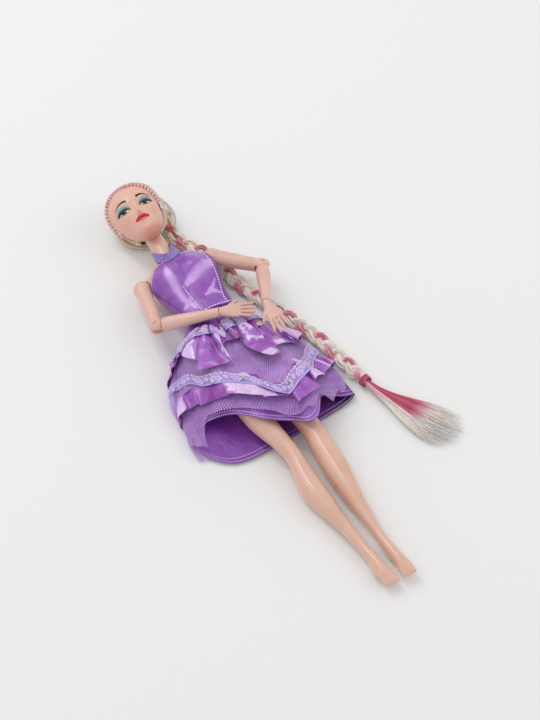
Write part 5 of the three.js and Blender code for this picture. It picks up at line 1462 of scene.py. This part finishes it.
def hairline_stitches():
    """Small tufts along the hairline: pink ones leaning outward in zigzag, white dots before them."""
    lines = []
    way = np.concatenate([[0], np.cumsum(np.hypot(np.diff(hairline_spots[:, 0]) * 0.24,
                                                  np.diff(hairline_spots[:, 1]) * head_length))])
    count = 66
    for k in range(count):
        at = way[-1] * (k + 0.5) / count
        degrees = np.interp(at, way, hairline_spots[:, 0])
        share = np.interp(at, way, hairline_spots[:, 1])
        ahead = [np.interp(at + 0.55, way, hairline_spots[:, side]) for side in (0, 1)]
        root = head_spot(degrees, share, 0.0)
        side_step = head_spot(*ahead, 0.0) - root
        out = head_spot(degrees, share, 1.0) - root
        middle = posed(np.array([[0.0, 110.0, 20.0]]))[0]
        away = root - middle
        away /= np.linalg.norm(away)
        lean = out * 0.55 + away * 0.9
        shade = (0.17, 0.34)[k % 2] + 0.06 * rng.random()
        for sign in (-1, 1):
            points = [root + side_step * 0.1 * sign, root + lean * 0.7 + side_step * 0.35 * sign,
                      root + lean * 1.5 + side_step * 0.8 * sign]
            lines.append(sweep(points, 5, 0.22, shade))
        if degrees < 2:
            inner = root - away * 0.95 + out * 0.5
            points = [inner, inner + out * 0.25 + away * 0.12, inner + away * 0.42 + out * 0.2]
            lines.append(sweep(points, 4, 0.34, 0.45))
    return lines


stitch_piece = tubes("hairline_stitches", hairline_stitches(), hair_strands, 5)
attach(stitch_piece, "head")


def plait():
    """Three twisted strands woven over each other, each of many hairs."""
    line, along, at = curve_through(braid_points, 170)
    across = unit(np.cross(along, [0.0, 0.0, 1.0]))
    up = np.cross(across, along)
    total = at[-1]
    slim = 0.72 + 0.28 * ease(0, 0.14 * total, at) - 0.42 * ease(0.95 * total, 0.99 * total, at)
    beat = 2 * math.pi * at / 23.0
    lines = []
    shades = {0: (0.44, 0.43, 0.46, 0.50), 1: (0.12, 0.17, 0.24, 0.33), 2: (0.46, 0.58, 0.68, 0.48)}
    for strand in range(3):
        phase = beat + strand * 2 * math.pi / 3
        sideways, height = 2.5 * np.sin(phase), 0.95 * np.sin(2 * phase)
        pale = (0.0, 0.26, 0.0)[strand] * (1 - np.abs(np.sin(phase + 0.4))) ** 1.5
        for hair in range(50):
            turn, far = rng.random() * 2 * math.pi, 0.45 + 0.55 * math.sqrt(rng.random())
            spin = turn + 0.05 * at
            swell = 1.0 + 0.12 * np.sin(beat * 1.5 + strand)
            a = (sideways + 2.05 * swell * far * np.cos(spin)) * slim
            b = (height + 1.45 * swell * far * np.sin(spin)) * slim
            stray = 0.12 * np.sin(at * (0.5 + rng.random()) + turn)
            if hair > 46:
                stray = stray + 0.7 * np.sin(at * 0.35 + turn)
            points = line + across * (a + stray)[:, None] + up * (b + stray * 0.4)[:, None]
            points[:, 2] = np.maximum(points[:, 2], 0.25)
            shade = shades[strand][hair % 4] + 0.03 * rng.random()
            fade = 0.06 * np.sin(at * 0.11 + strand * 2 + hair)
            lines.append(np.column_stack([points, np.full(len(at), 0.24), shade + fade + pale]))
    return lines


braid = tubes("braid_plait", plait(), hair_strands)
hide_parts("braid")
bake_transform(braid)


def tail_hair():
    """Loose tail: it fans out from the tie and thins to fine tips."""
    line, along, at = curve_through(tail_points, 34)
    across = unit(np.cross(along, [0.0, 0.0, 1.0]))
    total = at[-1]
    lines = []
    for hair in range(420):
        a = 2 * rng.random() - 1
        a = math.copysign(abs(a) ** 0.85, a)
        b = 2 * rng.random() - 1
        end = 0.74 + 0.26 * rng.random() - 0.12 * a * a
        count = max(10, int(34 * end))
        share = at[:count] / total
        wide = 1.7 + 9.6 * ease(0.0, 0.8, share) * (1 + 0.25 * rng.random() * share)
        deep = 1.5 * (1 - 0.55 * share)
        curl = 0.9 * rng.random() * share ** 2 * np.sin(share * 7 + hair)
        points = line[:count] + across[:count] * (a * wide + curl)[:, None]
        points[:, 2] = np.maximum(line[:count, 2] + b * deep * math.sqrt(max(0, 1 - a * a)), 0.2)
        if a < 0.55:
            pink = ease(0.75, 0.35, share) * (1 if a < 0.25 else 0.25)
        else:
            pink = ease(0.4, 0.1, share) * 0.4
        pale = 0.43 + 0.08 * rng.random() if rng.random() < 0.75 else 0.58
        shade = pale + (0.12 + 0.1 * rng.random() - pale) * np.clip(pink * 1.3, 0, 1)
        grey_from = 0.6 + 0.4 * rng.random() if a > -0.2 else 0.85 + 0.3 * rng.random()
        shade = np.where(share > grey_from, 1.0, shade)
        radius = 0.19 * (1 - 0.75 * (share / share[-1]) ** 4)
        lines.append(np.column_stack([points, radius, shade]))
    return lines


tail = tubes("hair_tail_strands", tail_hair(), hair_finish("tail_strands", 0.4), 3)
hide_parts("hair_tail")
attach(tail, nodes["hair_tail"]["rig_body"])

# Tie: a fine elastic wound round the end of the braid
elastic = Finish("elastic", (184, 58, 98), 0.75, Sheen_Weight=0.3)
elastic.set("Base Color", elastic.mix(elastic.speckle(900).ease(0.3, 0.7), (160, 38, 78), (208, 92, 128)))
elastic.bump(elastic.speckle(1500, detail=2), 0.0002)


def wound_tie():
    """Six turns of the elastic round the braid."""
    along = np.array([0.16, -0.985, 0.0])
    across, up = np.array([0.985, 0.16, 0.0]), np.array([0.0, 0.0, 1.0])
    centre = np.array([56.15, -45.7, 3.8])
    rows = []
    for step in range(0, 181):
        share = step / 180
        turn = share * 6 * 2 * math.pi
        reach = 3.15 + 0.12 * math.sin(turn * 1.4)
        point = centre + along * (share - 0.5) * 3.0
        point = point + across * reach * math.cos(turn) + up * reach * math.sin(turn)
        rows.append([*point, 0.42, 0.1])
    return [rows]


tie = tubes("braid_elastic", wound_tie(), elastic, 10)
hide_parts("braid_tie")
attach(tie, nodes["braid_tie"]["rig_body"])


# Floor, backdrop and light. Lamps: place in metres, width, length, watts
lamps = [("key", (-0.5, 0.9, 1.3), 1.2, 1.2, 5.0), ("fill", (1.1, -0.5, 1.0), 1.0, 1.0, 2.5),
         ("strip", (-0.15, 0.85, 1.35), 0.09, 1.3, 3.0)]


def studio():
    floor_finish = Finish("floor", (240, 240, 240), 0.9)
    bm = bmesh.new()
    bmesh.ops.create_grid(bm, x_segments=2, y_segments=2, size=3)
    new_piece("floor", bm, floor_finish, smooth=False)
    world = bpy.data.worlds.new("studio")
    scene.world = world
    world.use_nodes = True
    sky = world.node_tree.nodes["Background"]
    sky.inputs[0].default_value = (1, 1, 1, 1)
    sky.inputs[1].default_value = 0.71
    for name, place, wide, long, watts in lamps:
        lamp = bpy.data.objects.new(name, bpy.data.lights.new(name, "AREA"))
        lamp.data.shape = "RECTANGLE"
        lamp.data.size, lamp.data.size_y, lamp.data.energy = wide, long, watts
        lamp.location = place
        lamp.rotation_euler = (look_at - Vector(place)).to_track_quat("-Z", "Y").to_euler()
        scene.collection.objects.link(lamp)


studio()
